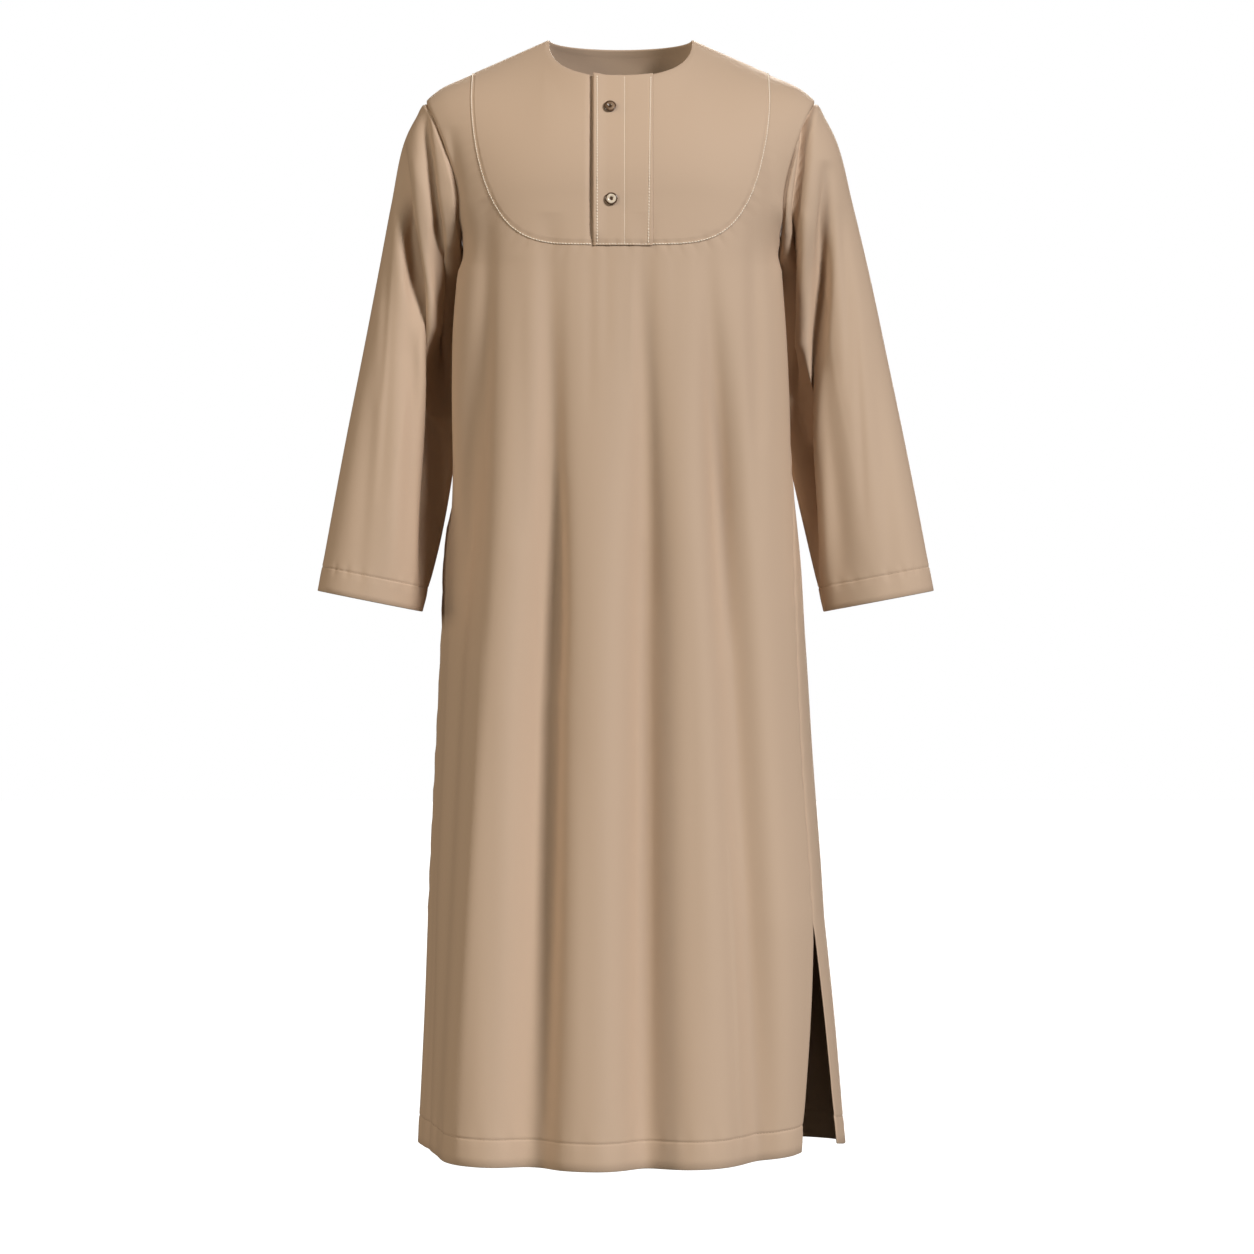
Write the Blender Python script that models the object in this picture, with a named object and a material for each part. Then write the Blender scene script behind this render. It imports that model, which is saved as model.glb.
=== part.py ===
"""Long collarless robe with a U-shaped bib and a button placket, filled out as when worn.

Every cut piece is a thin closed wall in metres. +X is the wearer's left, the front faces -Y and +Z is up.
The origin lies between the shoulders, halfway down the shoulder seams, where the wearer holds the robe up.
Heights in the tables are drops below the neck point, the place where neckline and shoulder seam meet.
"""

import math
from collections import namedtuple

import bmesh
import bpy
import numpy as np
from mathutils import Matrix, Vector

NECK_POINT_Z = 0.041  # neck point above the origin
WALL = 0.0012  # cloth of the panels and sleeves
BAND_WALL = 0.0010  # cloth of the bib and the placket
SEAM_GAP = 0.0003  # free space between two pieces at a seam
LAYER_GAP = 0.0003  # free space between a panel and what lies on it

NECK_HALF = 0.086  # neck point to the centre line
NECK_FRONT = 0.085  # depth of the neckline's front pit
NECK_FRONT_DROP = 0.0545
NECK_BACK = 0.070
NECK_BACK_DROP = 0.002
NECK_ROUNDNESS = {"front": 2.45, "back": 2.0}  # exponents of the neckline's halves, 2 for an ellipse
SHOULDER_HALF = 0.235  # shoulder tip to the centre line
SHOULDER_SLOPE = 0.443
SHOULDER_BEND_START = 0.205
SHOULDER_BEND = 10.0
ARMHOLE_FRONT = (0.1945, -0.072, 0.200)  # x, y and drop where the armhole is deepest
ARMHOLE_BACK = (0.1980, 0.078, 0.190)
UNDERARM = (0.185, 0.0, 0.280)
ARMHOLE_ANGLE = {"front": 62.6, "back": 115.0}  # degrees round the chest section where the armhole is deepest
ARMHOLE_ANGLE_CURVE = 1.6
ARMHOLE_LOWER_CURVE = 1.5
YOKE_EASE = 1.5
SQUARENESS = 2.5  # exponent of the body's sections, 2 for an ellipse
CHEST_HEIGHT = 0.1  # the chest above the underarm, which widens and grows shallower upwards
CHEST_WIDENS = 0.11
CHEST_SHALLOWS = {"front": 0.05, "back": 0.02}
NECK_SHARE = NECK_HALF / SHOULDER_HALF  # part of a panel's top edge that is neckline
# How level a panel leaves its top edge, at the centre and at the neck point: 0 steep, 1 level as at the tip.
ARCH = {"front": (0.12, 0.38), "back": (0.35, 0.60)}
# How far along the top edge, and how many rows down, the neck point's corner is rounded.
NECK_SOFT_REACH = 0.15
NECK_SOFT_ROWS = 0.45

YOKE_ROWS = 6
ARMHOLE_ROWS = 5
SKIRT_ROWS = 13
NECK_COLUMNS = {"front": 8, "back": 5}  # from the centre to the neck point
SHOULDER_COLUMNS = 12
SLEEVE_ROWS = 15

# One row for each level of the body: half widths to the wearer's right (low x) and left (high x), depths of
# the front and the back, the dents where the arms lie, and the side seams in degrees from the front centre.
Level = namedtuple("Level", "drop low high front back dent seam_low seam_high")
LEVELS = (
    Level(0.28, 0.2005, 0.1985, 0.139, 0.122, 0.015, 90, 90),
    Level(0.34, 0.2080, 0.2050, 0.142, 0.122, 0.032, 91, 88),
    Level(0.42, 0.2120, 0.2095, 0.144, 0.120, 0.036, 93, 84),
    Level(0.50, 0.2135, 0.2110, 0.146, 0.120, 0.026, 96, 78),
    Level(0.58, 0.2145, 0.2138, 0.148, 0.121, 0.005, 98, 73),
    Level(0.72, 0.2190, 0.2216, 0.151, 0.124, 0.0, 100, 69),
    Level(0.86, 0.2260, 0.2305, 0.154, 0.128, 0.0, 100, 67),
    Level(1.00, 0.2330, 0.2410, 0.158, 0.132, 0.0, 100, 67),
    Level(1.15, 0.2385, 0.2490, 0.161, 0.138, 0.0, 100, 67),
    Level(1.33, 0.2460, 0.2530, 0.164, 0.144, 0.0, 98, 66),
)
DENT_MIDDLE = 0.012  # the arm lies a little behind the side of the body
DENT_FADE = 0.06  # the dent is gone this far above the underarm
DENT_REACH = {"front": 0.041, "back": 0.048}
EDGE_POWER = 4  # exponent for what happens only near a panel's side edge
SLIT_TOP = 1.05
SLIT_CURVE = 1.1
HEM_SIDE = 1.324
HEM_CENTRE = {"front": 1.336, "back": 1.328}
# What the slits let the panels do at the hem: how much wider (+) or narrower each half hangs, and how far
# round the section its edge stands off the other panel's, in degrees.
SLIT_SPREAD = {
    ("front", "low"): 0.0,
    ("front", "high"): -0.0230,
    ("back", "low"): -0.0150,
    ("back", "high"): 0.0165,
}
SLIT_STAND_OFF = {("back", "low"): 9.0, ("back", "high"): 5.0}
HEM_LIFT = {("back", "high"): 0.009}  # how much higher a panel's corner hangs beside a slit

# Folds that hang from the chest and the shoulder blades: valleys (depth > 0) by their place across the panel
# at the fold's start and at the hem, their width on each side, the depth at the hem, and the drops where they
# start and are full.
Fold = namedtuple("Fold", "x_start x_hem width_low width_high depth start full")
FOLDS = {
    "front": (
        Fold(-0.168, -0.237, 0.022, 0.021, 0.0190, 0.26, 0.62),
        Fold(-0.082, -0.116, 0.024, 0.033, 0.0280, 0.25, 0.85),
        Fold(0.030, 0.034, 0.028, 0.031, 0.0280, 0.25, 0.75),
        Fold(0.104, 0.170, 0.030, 0.020, 0.0215, 0.27, 0.58),
        Fold(-0.022, -0.025, 0.030, 0.030, -0.0060, 0.25, 0.90),
    ),
    "back": (
        Fold(-0.120, -0.185, 0.030, 0.026, 0.0150, 0.22, 0.80),
        Fold(-0.045, -0.075, 0.026, 0.032, 0.0140, 0.25, 0.90),
        Fold(0.040, 0.052, 0.032, 0.026, 0.0150, 0.20, 0.85),
        Fold(0.118, 0.172, 0.024, 0.032, 0.0125, 0.24, 0.80),
    ),
}

FOLD_DRIFT = 0.8  # exponent of a fold's way sideways
FOLD_WIDTHS = (0.8, 1.1)  # share of its width that a fold has at its start and at the hem
FOLD_EDGE_FADE = 0.16  # share of a half panel over which folds fade out at its side
FOLD_AXES = (0.22, 0.145)  # half axes of the ellipse whose normals the folds follow

# One row for each ring of a sleeve: share of its length, the outer and the inner edge as distance from the
# centre line and drop, and the depth of the front and the back of the ring with the y of its middle.
# The left sleeve hangs closer to the body and the right one further out.
Ring = namedtuple("Ring", "share out_x out_drop in_x in_drop front back middle in_left out_right")
RINGS = (
    Ring(0.00, 0.2350, 0.0756, 0.1850, 0.280, 0.074, 0.078, 0.000, 0.0, 0.0),
    Ring(0.10, 0.2600, 0.1220, 0.1920, 0.309, 0.069, 0.074, 0.008, 0.0, 0.0),
    Ring(0.22, 0.2760, 0.1960, 0.1920, 0.348, 0.064, 0.068, 0.016, 0.0, 0.0035),
    Ring(0.36, 0.2920, 0.2820, 0.1915, 0.398, 0.064, 0.066, 0.016, 0.0, 0.0080),
    Ring(0.52, 0.3110, 0.3820, 0.1950, 0.460, 0.064, 0.066, 0.012, 0.0, 0.0100),
    Ring(0.68, 0.3290, 0.4750, 0.2065, 0.524, 0.062, 0.063, 0.006, -0.0045, 0.0110),
    Ring(0.84, 0.3460, 0.5680, 0.2240, 0.602, 0.060, 0.060, 0.000, -0.0080, 0.0120),
    Ring(1.00, 0.3625, 0.6600, 0.2436, 0.685, 0.056, 0.056, -0.004, -0.0060, 0.0125),
)
ARMHOLE_EASE = 0.18  # share of the sleeve over which its ring takes the armhole's exact shape
RING_SQUARENESS = {"outer": 2.2, "inner": 1.8}

# Folds along a sleeve: valleys by their angle round the ring at the start and at the end of their run
# (0 at the outer edge, 90 in front, 180 at the inner edge), with half width and depth.
SleeveFold = namedtuple("SleeveFold", "side angle_start angle_end width depth start end")
SLEEVE_FOLDS = (
    SleeveFold("left", 62, 132, 17, 0.0115, 0.10, 0.95),
    SleeveFold("left", 100, 158, 14, 0.0090, 0.06, 0.55),
    SleeveFold("left", 250, 215, 20, 0.0080, 0.12, 0.90),
    SleeveFold("right", 88, 130, 17, 0.0110, 0.14, 0.95),
    SleeveFold("right", 122, 160, 14, 0.0070, 0.08, 0.60),
    SleeveFold("right", 262, 220, 20, 0.0080, 0.10, 0.85),
)

BIB_HALF = 0.178  # half width of the bib's U
BIB_TOP = 0.070  # drop where the U's sides start to curve
BIB_BOTTOM = 0.258
BIB_ROUNDNESS = (5.0, 1.7)  # exponents of the U across and down
PLACKET_LOW = -0.0310  # image-left edge of the band
PLACKET_HIGH = 0.0375
PLACKET_EDGE_LIFT = 0.0030  # the free edge stands off the bib
PLACKET_RISE_FROM = -0.014  # where the band starts to rise to its free edge, and over what width
PLACKET_RISE_OVER = 0.022
SLASH_HALF = 0.012  # the opening in the front under the band
SLASH_ROWS = 8  # rows of the grid that the opening reaches down
BIB_GRID_ROWS = 12  # rows of the grid that the bib and the bands are taken from
BAND_OVERHANG = 0.0005  # the band ends this far below the bib
BIB_UNDER_BAND = 0.013  # how far the bib's halves reach under the band
UNDERLAP_PEEP = 0.0025  # the underlap's top edge stands above the front neck edge
OUTLINE_STEPS = 28  # straight stretches in the U
OUTLINE_TOP = -0.1  # drop of the outlines' open tops, far above the shoulders
CUTTER_DEPTHS = (-0.30, 0.05)

BUTTON_RADIUS = 0.0073
BUTTON_THICK = 0.0030
BUTTON_SEGMENTS = 24
BUTTON_GAP = 0.0006  # the flat back of a button to the curved band
# The button's outline from the middle of its flat back over the rim to the dish, as shares of its radius
# and its thickness.
ProfilePoint = namedtuple("ProfilePoint", "radius height")
BUTTON_PROFILE = (
    ProfilePoint(0.0, 0.0),
    ProfilePoint(0.62, 0.0),
    ProfilePoint(0.96, 0.45),
    ProfilePoint(1.0, 0.68),
    ProfilePoint(0.93, 0.95),
    ProfilePoint(0.82, 1.0),
    ProfilePoint(0.66, 0.72),
    ProfilePoint(0.0, 0.62),
)
# x and drop of the buttons' middles
BUTTONS = {"button_upper": (-0.0120, 0.0947), "button_lower": (-0.0105, 0.2044)}

TAN = (0.520, 0.376, 0.262)
HORN = (0.120, 0.068, 0.036)


# ---------------------------------------------------------------- curves and tables


def table_value(rows, key, column, at):
    """A column of a table as a smooth curve through its rows (cubic, with the chord slopes as tangents)."""
    keys = np.array([getattr(r, key) for r in rows], float)
    values = np.array([getattr(r, column) for r in rows], float)
    slopes = np.gradient(values, keys)
    at = np.clip(np.asarray(at, float), keys[0], keys[-1])
    i = np.clip(np.searchsorted(keys, at, side="right") - 1, 0, len(keys) - 2)
    step = keys[i + 1] - keys[i]
    t = (at - keys[i]) / step
    start = (1 + 2 * t) * (1 - t) ** 2 * values[i] + t * (1 - t) ** 2 * step * slopes[i]
    end = t * t * (3 - 2 * t) * values[i + 1] - t * t * (1 - t) * step * slopes[i + 1]
    return start + end


def smooth(t):
    t = np.clip(t, 0.0, 1.0)
    return t * t * (3 - 2 * t)


def mix(a, b, t):
    return a + (b - a) * t


def sin_power(angle, power):
    s = np.sin(angle)
    return np.sign(s) * np.abs(s) ** power


def cos_power(angle, power):
    c = np.cos(angle)
    return np.sign(c) * np.abs(c) ** power


# ---------------------------------------------------------------- the body's form


def slit_share(drop):
    """How far the slits stand open, from 0 at their top to 1 at the hem."""
    return np.clip((drop - SLIT_TOP) / (HEM_SIDE - SLIT_TOP), 0, None) ** SLIT_CURVE


def body_section(panel, angle, drop):
    """A point of the body's section at a drop; angle in radians from the front centre, + towards +X."""
    high = np.sin(angle) >= 0
    open_share = slit_share(drop)
    half = np.where(
        high,
        table_value(LEVELS, "drop", "high", drop) + SLIT_SPREAD[panel, "high"] * open_share,
        table_value(LEVELS, "drop", "low", drop) + SLIT_SPREAD[panel, "low"] * open_share,
    )
    forward = np.cos(angle) >= 0
    depth = np.where(
        forward,
        table_value(LEVELS, "drop", "front", drop),
        table_value(LEVELS, "drop", "back", drop),
    )
    above = np.clip(UNDERARM[2] - drop, 0, CHEST_HEIGHT)
    half = half + CHEST_WIDENS * above
    depth = depth - np.where(forward, CHEST_SHALLOWS["front"], CHEST_SHALLOWS["back"]) * above
    power = 2 / SQUARENESS
    x = half * sin_power(angle, power)
    y = -depth * cos_power(angle, power)
    dent = table_value(LEVELS, "drop", "dent", drop) * smooth(1 - above / DENT_FADE)
    from_arm = y - DENT_MIDDLE
    reach = np.where(from_arm < 0, DENT_REACH["front"], DENT_REACH["back"])
    x = x - np.sign(x) * dent * np.exp(-((from_arm / reach) ** 2)) * np.abs(np.sin(angle)) ** EDGE_POWER
    return x, y


def armhole_edge(panel, row):
    """The armhole from the shoulder tip (row 0) over its deepest point (row 1) to the underarm (row 2)."""
    x0, y0, d0 = SHOULDER_HALF, 0.0, shoulder_drop(SHOULDER_HALF)
    x1, y1, d1 = ARMHOLE_FRONT if panel == "front" else ARMHOLE_BACK
    x2, y2, d2 = UNDERARM
    upper = np.clip(row, 0, 1) * math.pi / 2
    lower = np.clip(row - 1, 0, 1)
    fall = 1 - np.cos(upper)
    x = mix(x0, x1, ease_in(fall)) + (x2 - x1) * lower**ARMHOLE_LOWER_CURVE
    y = np.where(row <= 1, y0 + (y1 - y0) * np.sin(upper), y2 + (y1 - y2) * np.cos(lower * math.pi / 2))
    drop = mix(d0, d1, fall) + (d2 - d1) * lower
    return x, y, drop


def ease_in(fall):
    """Fast at first and level at the end, for the way in from the shoulder to the chest."""
    return 1 - np.clip(1 - fall, 0, 1) ** YOKE_EASE


def shoulder_drop(x):
    bend = np.maximum(0, x - SHOULDER_BEND_START)
    return SHOULDER_SLOPE * (x - NECK_HALF) + SHOULDER_BEND * bend**2


def panel_top(panel, share):
    """The neckline and the shoulder seam; share runs from 0 at the centre to 1 at the shoulder tip."""
    depth, pit = (-NECK_FRONT, NECK_FRONT_DROP) if panel == "front" else (NECK_BACK, NECK_BACK_DROP)
    turn = np.clip(share / NECK_SHARE, 0, 1) * math.pi / 2
    along = np.maximum(share * SHOULDER_HALF, NECK_HALF)
    power = 2 / NECK_ROUNDNESS[panel]
    out, down = sin_power(turn, power), np.maximum(np.cos(turn), 0) ** power
    x = np.where(share < NECK_SHARE, NECK_HALF * out, along)
    y = depth * down
    drop = np.where(share < NECK_SHARE, pit * down, shoulder_drop(along))
    return x, y, drop


def soft_top(panel, share, upper):
    """The top edge as the rows below it feel it: the corner at the neck point is rounded more and more."""
    reach = NECK_SOFT_REACH * smooth(upper / NECK_SOFT_ROWS)
    reach = np.minimum(reach, 0.5 * (1 - share))
    x, y, drop = 0.0, 0.0, 0.0
    for step, weight in ((-1.0, 0.1), (-0.5, 0.25), (0.0, 0.3), (0.5, 0.25), (1.0, 0.1)):
        place = share + step * reach
        tx, ty, td = panel_top(panel, np.abs(place))
        x, y, drop = x + weight * np.sign(place) * tx, y + weight * ty, drop + weight * td
    return x, y, drop


def seam_angle(panel, side, drop):
    """Where the side seam, and below it the slit's edge, lies on the section."""
    angle = table_value(LEVELS, "drop", "seam_" + side, drop)
    return np.radians(angle + SLIT_STAND_OFF.get((panel, side), 0.0) * slit_share(drop))


def edge_angle(panel, row):
    """The section angle of the armhole's edge between its deepest point (row 0) and the underarm (row 1)."""
    return np.radians(mix(ARMHOLE_ANGLE[panel], 90.0, row**ARMHOLE_ANGLE_CURVE))


def fold_offset(panel, x, drop):
    """How far the cloth stands in (-) or out (+) of the plain section."""
    offset = np.zeros_like(x)
    for f in FOLDS[panel]:
        run = np.clip((drop - f.start) / (HEM_SIDE - f.start), 0, 1)
        middle = mix(f.x_start, f.x_hem, run**FOLD_DRIFT)
        width = np.where(x < middle, f.width_low, f.width_high) * mix(*FOLD_WIDTHS, run)
        grown = smooth((drop - f.start) / (f.full - f.start))
        offset -= f.depth * grown * np.exp(-(((x - middle) / width) ** 2))
    return offset


def panel_points(panel, share, row):
    """Points of a panel's outer face.

    share runs from -1 at the low x edge to 1; row runs from 0 at the top edge over 1 at the armhole's
    deepest level and 2 at the underarm to 3 at the hem.
    """
    share, row = np.broadcast_arrays(np.asarray(share, float), np.asarray(row, float))
    side = np.where(share < 0, -1.0, 1.0)
    s = np.abs(share)
    centre_back = panel == "back"
    chest_drop = (ARMHOLE_FRONT if panel == "front" else ARMHOLE_BACK)[2]

    # rows 1 to 2: chest level to underarm
    lower = np.clip(row - 1, 0, 1)
    drop = mix(chest_drop, UNDERARM[2], lower)

    def at_chest(drop, lower):
        limit = edge_angle(panel, lower)
        angle = mix(math.pi, limit, s) if centre_back else limit * s
        x, y = body_section(panel, side * angle, drop)
        ex, ey, ed = armhole_edge(panel, 1 + lower)
        sx, sy = body_section(panel, side * limit, ed)
        weight = s**EDGE_POWER
        return x + (side * ex - sx) * weight, y + (ey - sy) * weight

    chest_x, chest_y = at_chest(drop, lower)

    # rows 0 to 1: the yoke, from the top edge over the shoulder to the chest level
    upper = np.clip(row, 0, 1)
    top_x, top_y, top_drop = soft_top(panel, s, upper)
    first_drop = np.full_like(s, chest_drop)
    first_x, first_y = at_chest(first_drop, np.zeros_like(s))
    at_centre, at_neck = ARCH[panel]
    arch = mix(at_neck, 1.0, smooth((s - NECK_SHARE) / (1 - NECK_SHARE)))
    arch = np.where(s < NECK_SHARE, mix(at_centre, at_neck, smooth(s / NECK_SHARE)), arch)
    fall = mix(upper, 1 - np.cos(upper * math.pi / 2), arch)
    yoke_x = mix(side * top_x, first_x, ease_in(fall))
    yoke_y = mix(top_y, first_y, np.sin(upper * math.pi / 2))
    yoke_drop = mix(top_drop, first_drop, fall)

    # rows 2 to 3: the skirt
    run = np.clip(row - 2, 0, 1)
    hem = mix(HEM_CENTRE[panel], HEM_SIDE, s**2)
    skirt_drop = mix(UNDERARM[2], hem, run)
    lift = np.where(share < 0, HEM_LIFT.get((panel, "low"), 0.0), HEM_LIFT.get((panel, "high"), 0.0))
    skirt_drop = skirt_drop - lift * s**EDGE_POWER * slit_share(skirt_drop)
    low, high = seam_angle(panel, "low", skirt_drop), seam_angle(panel, "high", skirt_drop)
    limit = np.where(share < 0, low, high)
    angle = mix(math.pi, limit, s) if centre_back else limit * s
    skirt_x, skirt_y = body_section(panel, side * angle, skirt_drop)

    x = np.where(row <= 1, yoke_x, np.where(row <= 2, chest_x, skirt_x))
    y = np.where(row <= 1, yoke_y, np.where(row <= 2, chest_y, skirt_y))
    drop = np.where(row <= 1, yoke_drop, np.where(row <= 2, drop, skirt_drop))

    # the folds push the cloth along the section's outward direction and fade out at the side edges
    offset = fold_offset(panel, x, drop) * smooth((1 - s) / FOLD_EDGE_FADE)
    out_x, out_y = x / FOLD_AXES[0] ** 2, y / FOLD_AXES[1] ** 2
    length = np.hypot(out_x, out_y) + 1e-9
    x = x + offset * out_x / length
    y = y + offset * out_y / length
    return np.stack([x, y, NECK_POINT_Z - drop], -1)


# ---------------------------------------------------------------- the sleeves' form


def armhole_loop(angle):
    """The armhole seam by the angle round a sleeve's ring: 0 at the tip, 90 in front, 180 at the underarm."""
    turn = np.mod(angle, 2 * math.pi)
    front = turn <= math.pi
    row = np.where(front, turn, 2 * math.pi - turn) / (math.pi / 2)
    fx, fy, fd = armhole_edge("front", row)
    bx, by, bd = armhole_edge("back", row)
    return np.where(front, fx, bx), np.where(front, fy, by), np.where(front, fd, bd)


def sleeve_points(side, angle, share):
    """Points of a sleeve's outer face, by the angle round the ring and the share from armhole to cuff."""
    angle, share = np.broadcast_arrays(np.asarray(angle, float), np.asarray(share, float))

    def column(name, at):
        value = table_value(RINGS, "share", name, at)
        shift = {("in_x", "left"): "in_left", ("out_x", "right"): "out_right"}.get((name, side))
        return value + table_value(RINGS, "share", shift, at) if shift else value

    def ring(at):
        outer = np.cos(angle) > 0
        power = 2 / np.where(outer, RING_SQUARENESS["outer"], RING_SQUARENESS["inner"])
        across, around = cos_power(angle, power), sin_power(angle, power)
        x = (column("out_x", at) + column("in_x", at)) / 2
        drop = (column("out_drop", at) + column("in_drop", at)) / 2
        x = x + across * (column("out_x", at) - column("in_x", at)) / 2
        drop = drop + across * (column("out_drop", at) - column("in_drop", at)) / 2
        depth = np.where(around > 0, column("front", at), column("back", at))
        return x, column("middle", at) - around * depth, drop

    x, y, drop = ring(share)
    x0, y0, drop0 = ring(np.zeros_like(share))
    seam_x, seam_y, seam_drop = armhole_loop(angle)
    weight = np.clip(1 - share / ARMHOLE_EASE, 0, 1) ** 2
    x, y, drop = (
        x + (seam_x - x0) * weight,
        y + (seam_y - y0) * weight,
        drop + (seam_drop - drop0) * weight,
    )
    offset = np.zeros_like(x)
    for f in SLEEVE_FOLDS:
        if f.side != side:
            continue
        run = (share - f.start) / (f.end - f.start)
        middle = np.radians(mix(f.angle_start, f.angle_end, np.clip(run, 0, 1)))
        grown = np.sin(np.clip(run, 0, 1) * math.pi) ** 0.8
        offset += f.depth * grown * np.exp(-(((angle - middle) / math.radians(f.width)) ** 2))
    centre_x = (column("out_x", share) + column("in_x", share)) / 2
    in_x, in_y = centre_x - x, column("middle", share) - y
    length = np.hypot(in_x, in_y) + 1e-9
    x = x + offset * in_x / length
    y = y + offset * in_y / length
    sign = -1.0 if side == "left" else 1.0
    return np.stack([sign * x, y, NECK_POINT_Z - drop], -1)


# ---------------------------------------------------------------- walls from faces


class Sheet:
    """An outer face as points and quads, wound so that it faces out, with its seam edges."""

    def __init__(self, name, points, quads, wall, seams=(), skip=()):
        self.name = name
        self.points = np.array(points, float)
        self.wall = wall
        self.seams = {frozenset(e) for e in seams}
        self.normals = vertex_normals(self.points, quads)
        self.inward = self.normals.copy()
        self.quads = [tuple(q) for i, q in enumerate(quads) if i not in skip]

    def rim_edges(self):
        uses = {}
        for q in self.quads:
            for a, b in zip(q, q[1:] + q[:1]):
                uses.setdefault(frozenset((a, b)), []).append((a, b, q))
        return [u[0] for u in uses.values() if len(u) == 1]


def vertex_normals(points, quads):
    normals = np.zeros_like(points)
    for q in quads:
        a, b, c, d = points[list(q)]
        n = np.cross(c - a, d - b)
        for i in q:
            normals[i] += n
    length = np.linalg.norm(normals, axis=1, keepdims=True)
    return normals / np.maximum(length, 1e-12)


def grid_quads(columns, rows, wrap=False, flip=False):
    """Quads of a grid whose point number is column * rows + row."""
    quads = []
    for c in range(columns if wrap else columns - 1):
        for r in range(rows - 1):
            a, b = c * rows + r, c * rows + r + 1
            d = (c + 1) % columns * rows + r
            q = (a, b, d + 1, d)
            quads.append(q[::-1] if flip else q)
    return quads


def least_vector(directions, size):
    """The shortest vector that reaches size along each of the directions."""
    rows = np.array(directions)
    found = np.linalg.lstsq(rows, np.full(len(rows), size), rcond=0.2)[0]
    length = np.linalg.norm(found)
    return found * min(1.0, 1.6 * size / max(length, 1e-12))


def fit_seams(sheets):
    """Shared wall directions where pieces meet, then each seam edge is drawn in by half a gap."""
    meeting = {}
    for s in sheets:
        for i in {i for e in s.seams for i in e}:
            meeting.setdefault(tuple(np.round(s.points[i], 6)), []).append((s, i))
    moves = []
    for group in meeting.values():
        for s, i in group:
            n = s.normals[i]
            near = [t.normals[j] for t, j in group if t.normals[j] @ n > 0.25]
            s.inward[i] = least_vector(near, 1.0)
            if len(near) < len(group):
                moves.append((s, i, -SEAM_GAP / 2 * n))
    for s in sheets:
        draws = {}
        for a, b, q in s.rim_edges():
            if frozenset((a, b)) not in s.seams:
                continue
            along = s.points[b] - s.points[a]
            centre = s.points[list(q)].mean(0)
            into = centre - (s.points[a] + s.points[b]) / 2
            into -= along * (into @ along) / (along @ along)
            into /= np.linalg.norm(into)
            for i in (a, b):
                draws.setdefault(i, []).append(into)
        for i, directions in draws.items():
            moves.append((s, i, least_vector(directions, SEAM_GAP / 2)))
    for s, i, move in moves:
        s.points[i] += move


def halves(quad):
    """A quad's two triangles, split from its lowest point, so that layers with the same grid bend alike."""
    k = quad.index(min(quad))
    a, b, c, d = quad[k:] + quad[:k]
    return (a, b, c), (a, c, d)


def wall_object(sheet, colour):
    """The closed wall between a sheet's outer face and its inner one."""
    used = sorted({i for q in sheet.quads for i in q})
    place = {i: k for k, i in enumerate(used)}
    outer = sheet.points[used]
    inner = outer - sheet.wall * sheet.inward[used]
    triangles = [t for q in sheet.quads for t in halves(q)]
    faces = [tuple(place[i] for i in t) for t in triangles]
    size = len(used)
    faces += [tuple(place[i] + size for i in t[::-1]) for t in triangles]
    for a, b, _ in sheet.rim_edges():
        faces.append((place[b], place[a], place[a] + size, place[b] + size))
    return add_mesh(sheet.name, np.vstack([outer, inner]), faces, colour)


def add_mesh(name, points, faces, colour, rough=0.75):
    mesh = bpy.data.meshes.new(name)
    mesh.from_pydata([tuple(p) for p in points], [], [tuple(int(i) for i in f) for f in faces])
    mesh.validate()
    mesh.shade_smooth()
    mesh.set_sharp_from_angle(angle=math.radians(40))
    material = bpy.data.materials.new(name)
    material.use_nodes = True
    shader = material.node_tree.nodes["Principled BSDF"]
    shader.inputs["Base Color"].default_value = (*colour, 1)
    shader.inputs["Roughness"].default_value = rough
    shader.inputs["Metallic"].default_value = 0.0
    mesh.materials.append(material)
    thing = bpy.data.objects.new(name, mesh)
    bpy.context.collection.objects.link(thing)
    return thing


# ---------------------------------------------------------------- the pieces


def half_shares(panel):
    """Column places from the centre to the side: one on the slash, one on the neck point, the rest even."""
    neck = np.linspace(SLASH_HALF / SHOULDER_HALF, NECK_SHARE, NECK_COLUMNS[panel])
    side = np.linspace(NECK_SHARE, 1, SHOULDER_COLUMNS + 1)[1:]
    return np.concatenate([[0.0], neck, side])


def panel_rows():
    """Row places from the top edge to the hem, with one on the slit's top."""
    yoke = np.linspace(0, 1, YOKE_ROWS + 1)
    armhole = np.linspace(1, 2, ARMHOLE_ROWS + 1)[1:]
    skirt = np.linspace(2, 3, SKIRT_ROWS + 1)[1:]
    slit = 2 + (SLIT_TOP - UNDERARM[2]) / (HEM_SIDE - UNDERARM[2])
    skirt[np.argmin(np.abs(skirt - slit))] = slit
    return np.concatenate([yoke, armhole, skirt]), slit


def panel_sheet(panel):
    half = half_shares(panel)
    shares = np.concatenate([-half[:0:-1], half])
    rows, slit = panel_rows()
    points = panel_points(panel, shares[:, None], rows[None, :]).reshape(-1, 3)
    count = len(rows)
    quads = grid_quads(len(shares), count, flip=panel == "back")
    skip = []
    if panel == "front":
        centre = len(half) - 1
        for r in range(SLASH_ROWS):
            skip += [(centre - 1) * (count - 1) + r, centre * (count - 1) + r]
    seams = []
    for column in (0, len(shares) - 1):
        for r in range(count - 1):
            if rows[r + 1] <= slit + 1e-9:
                seams.append((column * count + r, column * count + r + 1))
    for c in range(len(shares) - 1):
        if min(abs(shares[c]), abs(shares[c + 1])) >= NECK_SHARE - 1e-9:
            seams.append((c * count, (c + 1) * count))
    return Sheet(panel, points, quads, WALL, seams, skip)


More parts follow.
